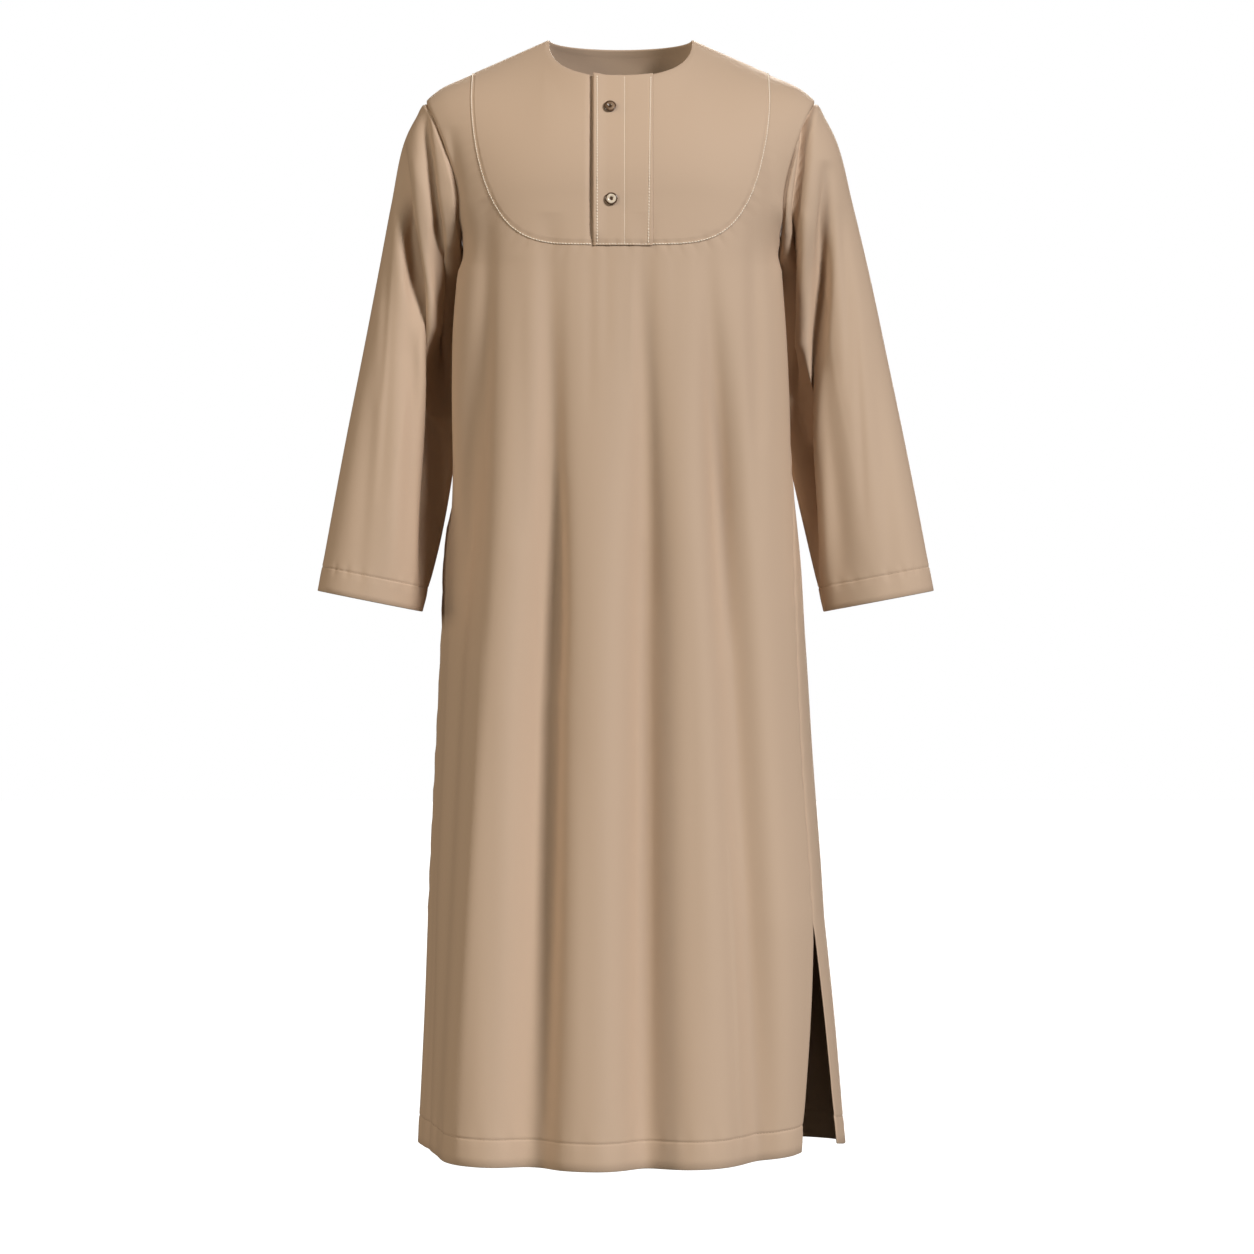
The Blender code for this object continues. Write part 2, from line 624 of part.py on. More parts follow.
def sleeve_sheet(side):
    front = np.concatenate(
        [np.linspace(0, 1, YOKE_ROWS + 1), np.linspace(1, 2, ARMHOLE_ROWS + 1)[1:]]
    ) * (math.pi / 2)
    angles = np.concatenate([front, 2 * math.pi - front[-2:0:-1]])
    shares = np.linspace(0, 1, SLEEVE_ROWS + 1)
    points = sleeve_points(side, angles[:, None], shares[None, :]).reshape(-1, 3)
    count = len(shares)
    quads = grid_quads(len(angles), count, wrap=True, flip=side == "right")
    seams = [(c * count, (c + 1) % len(angles) * count) for c in range(len(angles))]
    return Sheet("sleeve_" + side, points, quads, WALL, seams)


def laid_on(front, name, reach, lift):
    """A sheet from the front's own points out to a half width of reach, moved out by a number or by f(x)."""
    rows = len(panel_rows()[0])
    columns = len(front.points) // rows
    grid = front.points.reshape(columns, rows, 3)
    normals = front.normals.reshape(columns, rows, 3)
    middle_row = YOKE_ROWS
    inside = [c for c in range(columns) if abs(grid[c, middle_row, 0]) < reach]
    span = slice(max(inside[0] - 1, 0), min(inside[-1] + 2, columns))
    taken = BIB_GRID_ROWS + 1
    points, normals = grid[span, :taken].copy(), normals[span, :taken]
    out = lift(points[..., 0]) if callable(lift) else np.full(points.shape[:2], lift)
    points += normals * out[..., None]
    return Sheet(name, points.reshape(-1, 3), grid_quads(points.shape[0], taken), BAND_WALL)


def u_outline(low, high):
    """The bib's U between two x values, as x and drop, with its top far above the shoulders."""
    turn = np.linspace(-math.pi / 2, math.pi / 2, 2 * OUTLINE_STEPS + 1)
    x = BIB_HALF * sin_power(turn, 2 / BIB_ROUNDNESS[0])
    drop = BIB_TOP + (BIB_BOTTOM - BIB_TOP) * cos_power(turn, 2 / BIB_ROUNDNESS[1])
    keep = (x > low) & (x < high)
    edge = [[v, np.interp(v, x, drop)] for v in (low, high) if abs(v) < BIB_HALF]
    curve = [list(pair) for pair in zip(x[keep], drop[keep])]
    curve = sorted(curve + edge)
    return [(curve[0][0], OUTLINE_TOP)] + [tuple(p) for p in curve] + [(curve[-1][0], OUTLINE_TOP)]


def cut_to(thing, outline):
    """Keeps what lies inside a prism along Y whose outline is given as x and drop."""
    count = len(outline)
    points = [(x, y, NECK_POINT_Z - drop) for y in CUTTER_DEPTHS for x, drop in outline]
    faces = [tuple(range(count)), tuple(range(2 * count - 1, count - 1, -1))]
    for i in range(count):
        j = (i + 1) % count
        faces.append((j, i, i + count, j + count))
    cutter = add_mesh(thing.name + "_cutter", points, faces, TAN)
    cutter.hide_render = True
    cutter.display_type = "WIRE"
    cut = thing.modifiers.new("outline", "BOOLEAN")
    cut.operation = "INTERSECT"
    cut.solver = "EXACT"
    cut.object = cutter


def band_outline():
    top, bottom = OUTLINE_TOP, BIB_BOTTOM + BAND_OVERHANG
    return [(PLACKET_LOW, top), (PLACKET_LOW, bottom), (PLACKET_HIGH, bottom), (PLACKET_HIGH, top)]


def bib_lift(x):
    return LAYER_GAP + BAND_WALL + 0 * x


def band_lift(x):
    """The band lies on the bib, and its free edge stands off it."""
    rise = smooth((PLACKET_RISE_FROM - x) / PLACKET_RISE_OVER)
    return 2 * (LAYER_GAP + BAND_WALL) + PLACKET_EDGE_LIFT * rise


def lay_on_front(front):
    """The bib's halves and the two bands of the placket."""
    inner_low = PLACKET_LOW + BIB_UNDER_BAND
    inner_high = PLACKET_HIGH - BIB_UNDER_BAND
    cut_to(wall_object(laid_on(front, "bib_left", BIB_HALF, bib_lift), TAN), u_outline(-1, inner_low))
    cut_to(wall_object(laid_on(front, "bib_right", BIB_HALF, bib_lift), TAN), u_outline(inner_high, 1))
    reach = max(-PLACKET_LOW, PLACKET_HIGH)
    cut_to(wall_object(laid_on(front, "placket", reach, band_lift), TAN), band_outline())
    under = laid_on(front, "placket_underlap", reach, -WALL - LAYER_GAP)
    top, below = under.points[:: BIB_GRID_ROWS + 1], under.points[1 :: BIB_GRID_ROWS + 1]
    rise = top - below
    under.points[:: BIB_GRID_ROWS + 1] += UNDERLAP_PEEP * rise / np.linalg.norm(rise, axis=1, keepdims=True)
    cut_to(wall_object(under, TAN), band_outline())


def front_at(x, drop):
    """The front's outer face at an x and a drop, and its outward direction, from a grid of its points."""
    shares = np.linspace(-0.3, 0.3, 241)
    rows = np.linspace(0.05, 1.6, 311)
    points = panel_points("front", shares[:, None], rows[None, :])
    miss = np.hypot(points[..., 0] - x, points[..., 2] - (NECK_POINT_Z - drop))
    c, r = np.unravel_index(np.argmin(miss), miss.shape)
    normal = np.cross(points[c, r + 1] - points[c, r - 1], points[c + 1, r] - points[c - 1, r])
    return points[c, r], normal / np.linalg.norm(normal)


def button(name):
    """A round button with a rim and a dished face, seated on the placket."""
    seat, normal = front_at(*BUTTONS[name])
    seat = seat + normal * (2 * (LAYER_GAP + BAND_WALL) + BUTTON_GAP)
    shape = bmesh.new()
    outline = [(p.radius * BUTTON_RADIUS, 0, p.height * BUTTON_THICK) for p in BUTTON_PROFILE]
    verts = [shape.verts.new(point) for point in outline]
    edges = [shape.edges.new(pair) for pair in zip(verts, verts[1:])]
    bmesh.ops.spin(
        shape,
        geom=verts + edges,
        cent=(0, 0, 0),
        axis=(0, 0, 1),
        angle=2 * math.pi,
        steps=BUTTON_SEGMENTS,
        use_merge=True,
    )
    bmesh.ops.remove_doubles(shape, verts=shape.verts, dist=1e-6)
    bmesh.ops.recalc_face_normals(shape, faces=shape.faces)
    mesh = bpy.data.meshes.new(name)
    shape.to_mesh(mesh)
    shape.free()
    points = [v.co.copy() for v in mesh.vertices]
    faces = [tuple(p.vertices) for p in mesh.polygons]
    bpy.data.meshes.remove(mesh)
    turn = Vector((0, 0, 1)).rotation_difference(Vector(normal)).to_matrix().to_4x4()
    thing = add_mesh(name, points, faces, HORN, rough=0.3)
    thing.matrix_world = Matrix.Translation(Vector(seat)) @ turn


def main():
    for thing in list(bpy.data.objects):
        bpy.data.objects.remove(thing, do_unlink=True)
    sewn = [panel_sheet("front"), panel_sheet("back"), sleeve_sheet("left"), sleeve_sheet("right")]
    fit_seams(sewn)
    for sheet in sewn:
        wall_object(sheet, TAN)
    lay_on_front(sewn[0])
    for name in BUTTONS:
        button(name)


main()
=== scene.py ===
"""Thobe robe: the sewn and creased cloth, its stitching and buttons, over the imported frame."""

import math
from collections import namedtuple
from math import pi

import bpy
import numpy as np
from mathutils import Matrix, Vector


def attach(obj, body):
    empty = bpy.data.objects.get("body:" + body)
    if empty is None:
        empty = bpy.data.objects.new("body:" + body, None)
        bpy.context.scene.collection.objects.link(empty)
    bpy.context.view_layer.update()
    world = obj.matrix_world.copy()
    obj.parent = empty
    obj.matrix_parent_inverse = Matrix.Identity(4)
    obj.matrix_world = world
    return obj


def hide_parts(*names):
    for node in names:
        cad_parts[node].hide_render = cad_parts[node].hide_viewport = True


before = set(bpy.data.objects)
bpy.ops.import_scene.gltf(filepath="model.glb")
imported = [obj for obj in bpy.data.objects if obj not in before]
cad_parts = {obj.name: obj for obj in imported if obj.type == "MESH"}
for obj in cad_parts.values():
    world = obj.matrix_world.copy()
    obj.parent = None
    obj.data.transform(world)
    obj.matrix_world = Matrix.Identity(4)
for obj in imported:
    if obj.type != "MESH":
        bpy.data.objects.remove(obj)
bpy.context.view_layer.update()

# ---- the robe's form, as in its solids

NECK_POINT_Z = 0.041  # neck point above the origin
WALL = 0.0012  # cloth of the panels and sleeves
BAND_WALL = 0.001  # cloth of the bib and the placket
SEAM_GAP = 0.0003  # free space between two pieces at a seam
LAYER_GAP = 0.0003  # free space between a panel and what lies on it

NECK_HALF = 0.086  # neck point to the centre line
NECK_PIT = {"front": (-0.085, 0.0545), "back": (0.07, 0.002)}  # y and drop of the neckline's deepest point
NECK_ROUNDNESS = {"front": 2.45, "back": 2.0}  # exponents of the neckline's halves, 2 for an ellipse
SHOULDER_HALF = 0.235  # shoulder tip to the centre line
SHOULDER_SLOPE = 0.443
SHOULDER_BEND_START = 0.205
SHOULDER_BEND = 10.0
# x, y and drop where the armhole is deepest
ARMHOLE = {"front": (0.1945, -0.072, 0.2), "back": (0.198, 0.078, 0.19)}
UNDERARM = (0.185, 0.0, 0.28)
ARMHOLE_ANGLE = {"front": 62.6, "back": 115.0}  # degrees round the chest section where the armhole is deepest
ARMHOLE_ANGLE_CURVE = 1.6
ARMHOLE_LOWER_CURVE = 1.5
YOKE_EASE = 1.5
SQUARENESS = 2.5  # exponent of the body's sections, 2 for an ellipse
CHEST_HEIGHT = 0.1  # the chest above the underarm, which widens and grows shallower upwards
CHEST_WIDENS = 0.11
CHEST_SHALLOWS = {"front": 0.05, "back": 0.02}
NECK_SHARE = NECK_HALF / SHOULDER_HALF  # part of a panel's top edge that is neckline
# How level a panel leaves its top edge at the centre and at the neck point: 0 steep, 1 level.
ARCH = {"front": (0.12, 0.38), "back": (0.35, 0.6)}
# How far along the top edge, and how many rows down, the neck point's corner is rounded.
NECK_SOFT_REACH = 0.15
NECK_SOFT_ROWS = 0.45
NECK_SOFT_WEIGHTS = ((-1.0, 0.1), (-0.5, 0.25), (0.0, 0.3), (0.5, 0.25), (1.0, 0.1))

# The body's levels: half widths towards low and high x, depths of the front and the back, the dents where the
# arms lie, and the side seams in degrees from the front centre.
Level = namedtuple("Level", "drop low high front back dent seam_low seam_high")
LEVELS = [Level(*row) for row in (
    (0.28, 0.2005, 0.1985, 0.139, 0.122, 0.015, 90, 90),
    (0.34, 0.208, 0.205, 0.142, 0.122, 0.032, 91, 88),
    (0.42, 0.212, 0.2095, 0.144, 0.12, 0.036, 93, 84),
    (0.5, 0.2135, 0.211, 0.146, 0.12, 0.026, 96, 78),
    (0.58, 0.2145, 0.2138, 0.148, 0.121, 0.005, 98, 73),
    (0.72, 0.219, 0.2216, 0.151, 0.124, 0.0, 100, 69),
    (0.86, 0.226, 0.2305, 0.154, 0.128, 0.0, 100, 67),
    (1.0, 0.233, 0.241, 0.158, 0.132, 0.0, 100, 67),
    (1.15, 0.2385, 0.249, 0.161, 0.138, 0.0, 100, 67),
    (1.33, 0.246, 0.253, 0.164, 0.144, 0.0, 98, 66),
)]
DENT_MIDDLE = 0.012  # the arm lies a little behind the side of the body
DENT_FADE = 0.06  # the dent is gone this far above the underarm
DENT_REACH = {"front": 0.041, "back": 0.048}
EDGE_POWER = 4  # exponent for what happens only near a panel's side edge
SLIT_TOP = 1.05
SLIT_CURVE = 1.1
HEM_SIDE = 1.324
HEM_CENTRE = {"front": 1.336, "back": 1.328}
# What the slits let the panels do at the hem: how much wider each half hangs, and how many degrees round the
# section its edge stands off the other panel's.
SLIT_SPREAD = {
    ("front", "low"): 0.0,
    ("front", "high"): -0.023,
    ("back", "low"): -0.015,
    ("back", "high"): 0.0165,
}
SLIT_STAND_OFF = {("back", "low"): 9.0, ("back", "high"): 5.0}
HEM_LIFT = {("back", "high"): 0.009}  # how much higher a panel's corner hangs beside a slit


def in_metres(kind, table):
    """Named rows in metres from a table in millimetres."""
    return {name: [kind(*(v / 1000 for v in row)) for row in rows] for name, rows in table.items()}


# Folds that hang from the chest and the shoulder blades, in millimetres: valleys (depth > 0) by their place
# across the panel at the start and at the hem, width on each side, depth, and the drops where they start and
# are full.
Fold = namedtuple("Fold", "x_start x_hem width_low width_high depth start full")
FOLD_ROWS = {
    "front": (
        (-168, -237, 22, 21, 19, 260, 620),
        (-82, -116, 24, 33, 28, 250, 850),
        (30, 34, 28, 31, 28, 250, 750),
        (104, 170, 30, 20, 21.5, 270, 580),
        (-22, -25, 30, 30, -6, 250, 900),
    ),
    "back": (
        (-120, -185, 30, 26, 15, 220, 800),
        (-45, -75, 26, 32, 14, 250, 900),
        (40, 52, 32, 26, 15, 200, 850),
        (118, 172, 24, 32, 12.5, 240, 800),
    ),
}
FOLDS = in_metres(Fold, FOLD_ROWS)

FOLD_DRIFT = 0.8  # exponent of a fold's way sideways
FOLD_WIDTHS = (0.8, 1.1)  # share of its width that a fold has at its start and at the hem
FOLD_EDGE_FADE = 0.16  # share of a half panel over which folds fade out at its side
FOLD_AXES = (0.22, 0.145)  # half axes of the ellipse whose normals the folds follow
TINY = 1e-9

# A sleeve's rings: share of its length, the outer and the inner edge as distance from the centre line and
# drop, depths of its front and back, the y of its middle, and what the left and the right sleeve add.
Ring = namedtuple("Ring", "share out_x out_drop in_x in_drop front back middle in_left out_right")
RINGS = [Ring(*row) for row in (
    (0.0, 0.235, 0.0756, 0.185, 0.28, 0.074, 0.078, 0.0, 0.0, 0.0),
    (0.1, 0.26, 0.122, 0.192, 0.309, 0.069, 0.074, 0.008, 0.0, 0.0),
    (0.22, 0.276, 0.196, 0.192, 0.348, 0.064, 0.068, 0.016, 0.0, 0.0035),
    (0.36, 0.292, 0.282, 0.1915, 0.398, 0.064, 0.066, 0.016, 0.0, 0.008),
    (0.52, 0.311, 0.382, 0.195, 0.46, 0.064, 0.066, 0.012, 0.0, 0.01),
    (0.68, 0.329, 0.475, 0.2065, 0.524, 0.062, 0.063, 0.006, -0.0045, 0.011),
    (0.84, 0.346, 0.568, 0.224, 0.602, 0.06, 0.06, 0.0, -0.008, 0.012),
    (1.0, 0.3625, 0.66, 0.2436, 0.685, 0.056, 0.056, -0.004, -0.006, 0.0125),
)]
ARMHOLE_EASE = 0.18  # share of the sleeve over which its ring takes the armhole's exact shape
RING_SQUARENESS = {"outer": 2.2, "inner": 1.8}
SLEEVE_FOLD_GROWTH = 0.8  # exponent with which a sleeve's fold swells and fades

# Valleys along a sleeve: degrees round the ring (0 at the outer edge, 90 in front) where they start and end,
# their half width, their depth, and the shares of the length.
SleeveFold = namedtuple("SleeveFold", "side angle_start angle_end width depth start end")
SLEEVE_FOLDS = [SleeveFold(*row) for row in (
    ("left", 62, 132, 17, 0.0115, 0.1, 0.95),
    ("left", 100, 158, 14, 0.009, 0.06, 0.55),
    ("left", 250, 215, 20, 0.008, 0.12, 0.9),
    ("right", 88, 130, 17, 0.011, 0.14, 0.95),
    ("right", 122, 160, 14, 0.007, 0.08, 0.6),
    ("right", 262, 220, 20, 0.008, 0.1, 0.85),
)]

BIB_HALF = 0.178  # half width of the bib's U
BIB_TOP = 0.07  # drop where the U's sides start to curve
BIB_BOTTOM = 0.258
BIB_ROUNDNESS = (5.0, 1.7)  # exponents of the U across and down
BIB_HALF_TURN = 0.18  # metres along the U for one radian round its middle
PLACKET_LOW = -0.031  # image-left edge of the band
PLACKET_HIGH = 0.0375
PLACKET_EDGE_LIFT = 0.003  # the free edge stands off the bib
PLACKET_RISE_FROM = -0.014  # where the band starts to rise to its free edge, and over what width
PLACKET_RISE_OVER = 0.022
SLASH_HALF = 0.012  # the opening in the front under the band
BAND_OVERHANG = 0.0005  # the band ends this far below the bib
BIB_UNDER_BAND = 0.013  # how far the bib's halves reach under the band
UNDERLAP_PEEP = 0.0025  # the underlap's top edge stands above the front neck edge
UNDERLAP_PEEP_SHARE = 0.04  # share of its length over which it does

BUTTON_RADIUS = 0.0073
BUTTON_THICK = 0.003
BUTTON_GAP = 0.0006  # the flat back of a button to the curved band
# x and drop of the buttons' middles
BUTTONS = {"button_upper": (-0.012, 0.0947), "button_lower": (-0.0105, 0.2044)}

# ---- curves and tables


def table_value(rows, key, column, at):
    """A column of a table as a smooth curve through its rows (cubic, with the chord slopes as tangents)."""
    keys, values = (np.array([getattr(r, name) for r in rows], float) for name in (key, column))
    slopes = np.gradient(values, keys)
    at = np.clip(np.asarray(at, float), keys[0], keys[-1])
    i = np.clip(np.searchsorted(keys, at, side="right") - 1, 0, len(keys) - 2)
    step = keys[i + 1] - keys[i]
    t = (at - keys[i]) / step
    start = (1 + 2 * t) * (1 - t) ** 2 * values[i] + t * (1 - t) ** 2 * step * slopes[i]
    end = t * t * (3 - 2 * t) * values[i + 1] - t * t * (1 - t) * step * slopes[i + 1]
    return start + end


def smooth(t):
    t = np.clip(t, 0.0, 1.0)
    return t * t * (3 - 2 * t)


def rise(value, start, over):
    """From 0 at start to 1 once the value is further by over, which may be negative."""
    return smooth((value - start) / over)


def mix(a, b, t):
    return a + (b - a) * t


def signed_power(value, power):
    return np.sign(value) * np.abs(value) ** power


def bell(distance, width):
    """1 on a line and falling off on both sides."""
    return np.exp(-((distance / width) ** 2))


def valley(x, middle, low, high):
    """A bell along a line, with its own width on each side."""
    return bell(x - middle, np.where(x < middle, low, high))


def spread(*values):
    """Numbers and arrays as arrays of one shape."""
    return np.broadcast_arrays(*(np.asarray(v, float) for v in values))


def flat(points):
    """x and drop of points."""
    return points[..., 0], NECK_POINT_Z - points[..., 2]


def level(column, drop):
    """A column of the body's table."""
    return table_value(LEVELS, "drop", column, drop)


# ---- the body's form


def slit_share(drop):
    """How far the slits stand open, from 0 at their top to 1 at the hem."""
    return np.clip((drop - SLIT_TOP) / (HEM_SIDE - SLIT_TOP), 0, None) ** SLIT_CURVE


def body_section(panel, angle, drop):
    """A point of the body's section at a drop; angle in radians from the front centre, + towards +X."""
    slit = slit_share(drop)
    above = np.clip(UNDERARM[2] - drop, 0, CHEST_HEIGHT)
    low, high = (level(side, drop) + SLIT_SPREAD[panel, side] * slit for side in ("low", "high"))
    front, back = (level(part, drop) - CHEST_SHALLOWS[part] * above for part in ("front", "back"))
    half = np.where(np.sin(angle) >= 0, high, low) + CHEST_WIDENS * above
    depth = np.where(np.cos(angle) >= 0, front, back)
    x = half * signed_power(np.sin(angle), 2 / SQUARENESS)
    y = -depth * signed_power(np.cos(angle), 2 / SQUARENESS)
    dent = level("dent", drop) * smooth(1 - above / DENT_FADE)
    from_arm = y - DENT_MIDDLE
    reach = np.where(from_arm < 0, DENT_REACH["front"], DENT_REACH["back"])
    x = x - np.sign(x) * dent * bell(from_arm, reach) * np.abs(np.sin(angle)) ** EDGE_POWER
    return x, y


def armhole_edge(panel, row):
    """The armhole from the shoulder tip (row 0) over its deepest point (row 1) to the underarm (row 2)."""
    x0, y0, d0 = SHOULDER_HALF, 0.0, shoulder_drop(SHOULDER_HALF)
    x1, y1, d1 = ARMHOLE[panel]
    x2, y2, d2 = UNDERARM
    upper = np.clip(row, 0, 1) * pi / 2
    lower = np.clip(row - 1, 0, 1)
    fall = 1 - np.cos(upper)
    x = mix(x0, x1, ease_in(fall)) + (x2 - x1) * lower**ARMHOLE_LOWER_CURVE
    y = np.where(row <= 1, y0 + (y1 - y0) * np.sin(upper), y2 + (y1 - y2) * np.cos(lower * pi / 2))
    drop = mix(d0, d1, fall) + (d2 - d1) * lower
    return x, y, drop


def ease_in(fall):
    """Fast at first and level at the end, for the way in from the shoulder to the chest."""
    return 1 - np.clip(1 - fall, 0, 1) ** YOKE_EASE


def shoulder_drop(x):
    bend = np.maximum(0, x - SHOULDER_BEND_START)
    return SHOULDER_SLOPE * (x - NECK_HALF) + SHOULDER_BEND * bend**2


def panel_top(panel, share):
    """The neckline and the shoulder seam; share runs from 0 at the centre to 1 at the shoulder tip."""
    depth, pit = NECK_PIT[panel]
    turn = np.clip(share / NECK_SHARE, 0, 1) * pi / 2
    along = np.maximum(share * SHOULDER_HALF, NECK_HALF)
    power = 2 / NECK_ROUNDNESS[panel]
    out, down = signed_power(np.sin(turn), power), np.maximum(np.cos(turn), 0) ** power
    x = np.where(share < NECK_SHARE, NECK_HALF * out, along)
    y = depth * down
    drop = np.where(share < NECK_SHARE, pit * down, shoulder_drop(along))
    return x, y, drop


def soft_top(panel, share, upper):
    """The top edge as the rows below it feel it: the corner at the neck point is rounded more and more."""
    reach = NECK_SOFT_REACH * smooth(upper / NECK_SOFT_ROWS)
    reach = np.minimum(reach, 0.5 * (1 - share))
    x, y, drop = 0.0, 0.0, 0.0
    for step, weight in NECK_SOFT_WEIGHTS:
        place = share + step * reach
        tx, ty, td = panel_top(panel, np.abs(place))
        x, y, drop = x + weight * np.sign(place) * tx, y + weight * ty, drop + weight * td
    return x, y, drop


def seam_angle(panel, side, drop):
    """Where the side seam, and below it the slit's edge, lies on the section."""
    return np.radians(level("seam_" + side, drop) + SLIT_STAND_OFF.get((panel, side), 0.0) * slit_share(drop))


def edge_angle(panel, row):
    """The section angle of the armhole's edge between its deepest point (row 0) and the underarm (row 1)."""
    return np.radians(mix(ARMHOLE_ANGLE[panel], 90.0, row**ARMHOLE_ANGLE_CURVE))


def fold_offset(panel, x, drop):
    """How far the cloth stands in (-) or out (+) of the plain section."""
    offset = np.zeros_like(x)
    for f in FOLDS[panel]:
        run = np.clip((drop - f.start) / (HEM_SIDE - f.start), 0, 1)
        middle = mix(f.x_start, f.x_hem, run**FOLD_DRIFT)
        wide = mix(*FOLD_WIDTHS, run)
        grown = rise(drop, f.start, f.full - f.start)
        offset -= f.depth * grown * valley(x, middle, f.width_low * wide, f.width_high * wide)
    return offset


def panel_points(panel, share, row):
    """Points of a panel's outer face.

    share runs from -1 at the low x edge to 1; row runs from 0 at the top edge over 1 at the armhole's
    deepest level and 2 at the underarm to 3 at the hem.
    """
    share, row = spread(share, row)
    side, s = np.where(share < 0, -1.0, 1.0), np.abs(share)
    upper, lower, run = (np.clip(row - zone, 0, 1) for zone in range(3))
    at_edge = s**EDGE_POWER
    chest_drop = ARMHOLE[panel][2]

    def section(limit, drop):
        """The section between the panel's centre and the limit at its edge."""
        angle = mix(pi, limit, s) if panel == "back" else limit * s
        return body_section(panel, side * angle, drop)

    def at_chest(drop, lower):
        limit = edge_angle(panel, lower)
        x, y = section(limit, drop)
        ex, ey, ed = armhole_edge(panel, 1 + lower)
        sx, sy = body_section(panel, side * limit, ed)
        return x + (side * ex - sx) * at_edge, y + (ey - sy) * at_edge

    # rows 0 to 1: the yoke, from the top edge over the shoulder to the chest level
    top_x, top_y, top_drop = soft_top(panel, s, upper)
    first_drop = np.full_like(s, chest_drop)
    first_x, first_y = at_chest(first_drop, np.zeros_like(s))
    at_centre, at_neck = ARCH[panel]
    arch = mix(at_neck, 1.0, smooth((s - NECK_SHARE) / (1 - NECK_SHARE)))
    arch = np.where(s < NECK_SHARE, mix(at_centre, at_neck, smooth(s / NECK_SHARE)), arch)
    fall = mix(upper, 1 - np.cos(upper * pi / 2), arch)
    yoke_x = mix(side * top_x, first_x, ease_in(fall))
    yoke_y = mix(top_y, first_y, np.sin(upper * pi / 2))
    yoke = yoke_x, yoke_y, mix(top_drop, first_drop, fall)

    # rows 1 to 2: chest level to underarm
    drop = mix(chest_drop, UNDERARM[2], lower)
    chest = *at_chest(drop, lower), drop

    # rows 2 to 3: the skirt
    drop = mix(UNDERARM[2], mix(HEM_CENTRE[panel], HEM_SIDE, s**2), run)
    lift = np.where(share < 0, HEM_LIFT.get((panel, "low"), 0.0), HEM_LIFT.get((panel, "high"), 0.0))
    drop = drop - lift * at_edge * slit_share(drop)
    limit = np.where(share < 0, seam_angle(panel, "low", drop), seam_angle(panel, "high", drop))
    skirt = *section(limit, drop), drop
    x, y, drop = (np.select([row <= 1, row <= 2], v[:2], v[2]) for v in zip(yoke, chest, skirt))

    # the folds push the cloth along the section's outward direction and fade out at the side edges
    offset = fold_offset(panel, x, drop) * smooth((1 - s) / FOLD_EDGE_FADE)
    out_x, out_y = x / FOLD_AXES[0] ** 2, y / FOLD_AXES[1] ** 2
    length = np.hypot(out_x, out_y) + TINY
    x, y = x + offset * out_x / length, y + offset * out_y / length
    return np.stack([x, y, NECK_POINT_Z - drop], -1)


# ---- the sleeves' form


def armhole_loop(angle):
    """The armhole seam by the angle round a sleeve's ring: 0 at the tip, 90 in front, 180 at the underarm."""
    turn = np.mod(angle, 2 * pi)
    front = turn <= pi
    row = np.where(front, turn, 2 * pi - turn) / (pi / 2)
    pairs = zip(armhole_edge("front", row), armhole_edge("back", row))
    return [np.where(front, *pair) for pair in pairs]


def sleeve_points(side, angle, share):
    """Points of a sleeve's outer face, by the angle round the ring and the share from armhole to cuff."""
    angle, share = spread(angle, share)

    def column(name, at):
        shift = {("in_x", "left"): "in_left", ("out_x", "right"): "out_right"}.get((name, side))
        value = table_value(RINGS, "share", name, at)
        return value + table_value(RINGS, "share", shift, at) if shift else value

    def centre(name, at):
        return (column("out_" + name, at) + column("in_" + name, at)) / 2

    def ring(at):
        outer = np.cos(angle) > 0
        power = 2 / np.where(outer, RING_SQUARENESS["outer"], RING_SQUARENESS["inner"])
        across, around = signed_power(np.cos(angle), power), signed_power(np.sin(angle), power)
        x, drop = (
            centre(name, at) + across * (column("out_" + name, at) - column("in_" + name, at)) / 2
            for name in ("x", "drop")
        )
        depth = np.where(around > 0, column("front", at), column("back", at))
        return x, column("middle", at) - around * depth, drop

    weight = np.clip(1 - share / ARMHOLE_EASE, 0, 1) ** 2
    x, y, drop = (
        here + (seam - start) * weight
        for here, seam, start in zip(ring(share), armhole_loop(angle), ring(np.zeros_like(share)))
    )
    offset = np.zeros_like(x)
    for f in SLEEVE_FOLDS:
        if f.side == side:
            run = np.clip((share - f.start) / (f.end - f.start), 0, 1)
            beside = angle - np.radians(mix(f.angle_start, f.angle_end, run))
            grown = np.sin(run * pi) ** SLEEVE_FOLD_GROWTH
            offset += f.depth * grown * bell(beside, math.radians(f.width))
    in_x, in_y = centre("x", share) - x, column("middle", share) - y
    length = np.hypot(in_x, in_y) + TINY
    x, y = x + offset * in_x / length, y + offset * in_y / length
    return np.stack([-x if side == "left" else x, y, NECK_POINT_Z - drop], -1)


# ---- creases and sewing relief

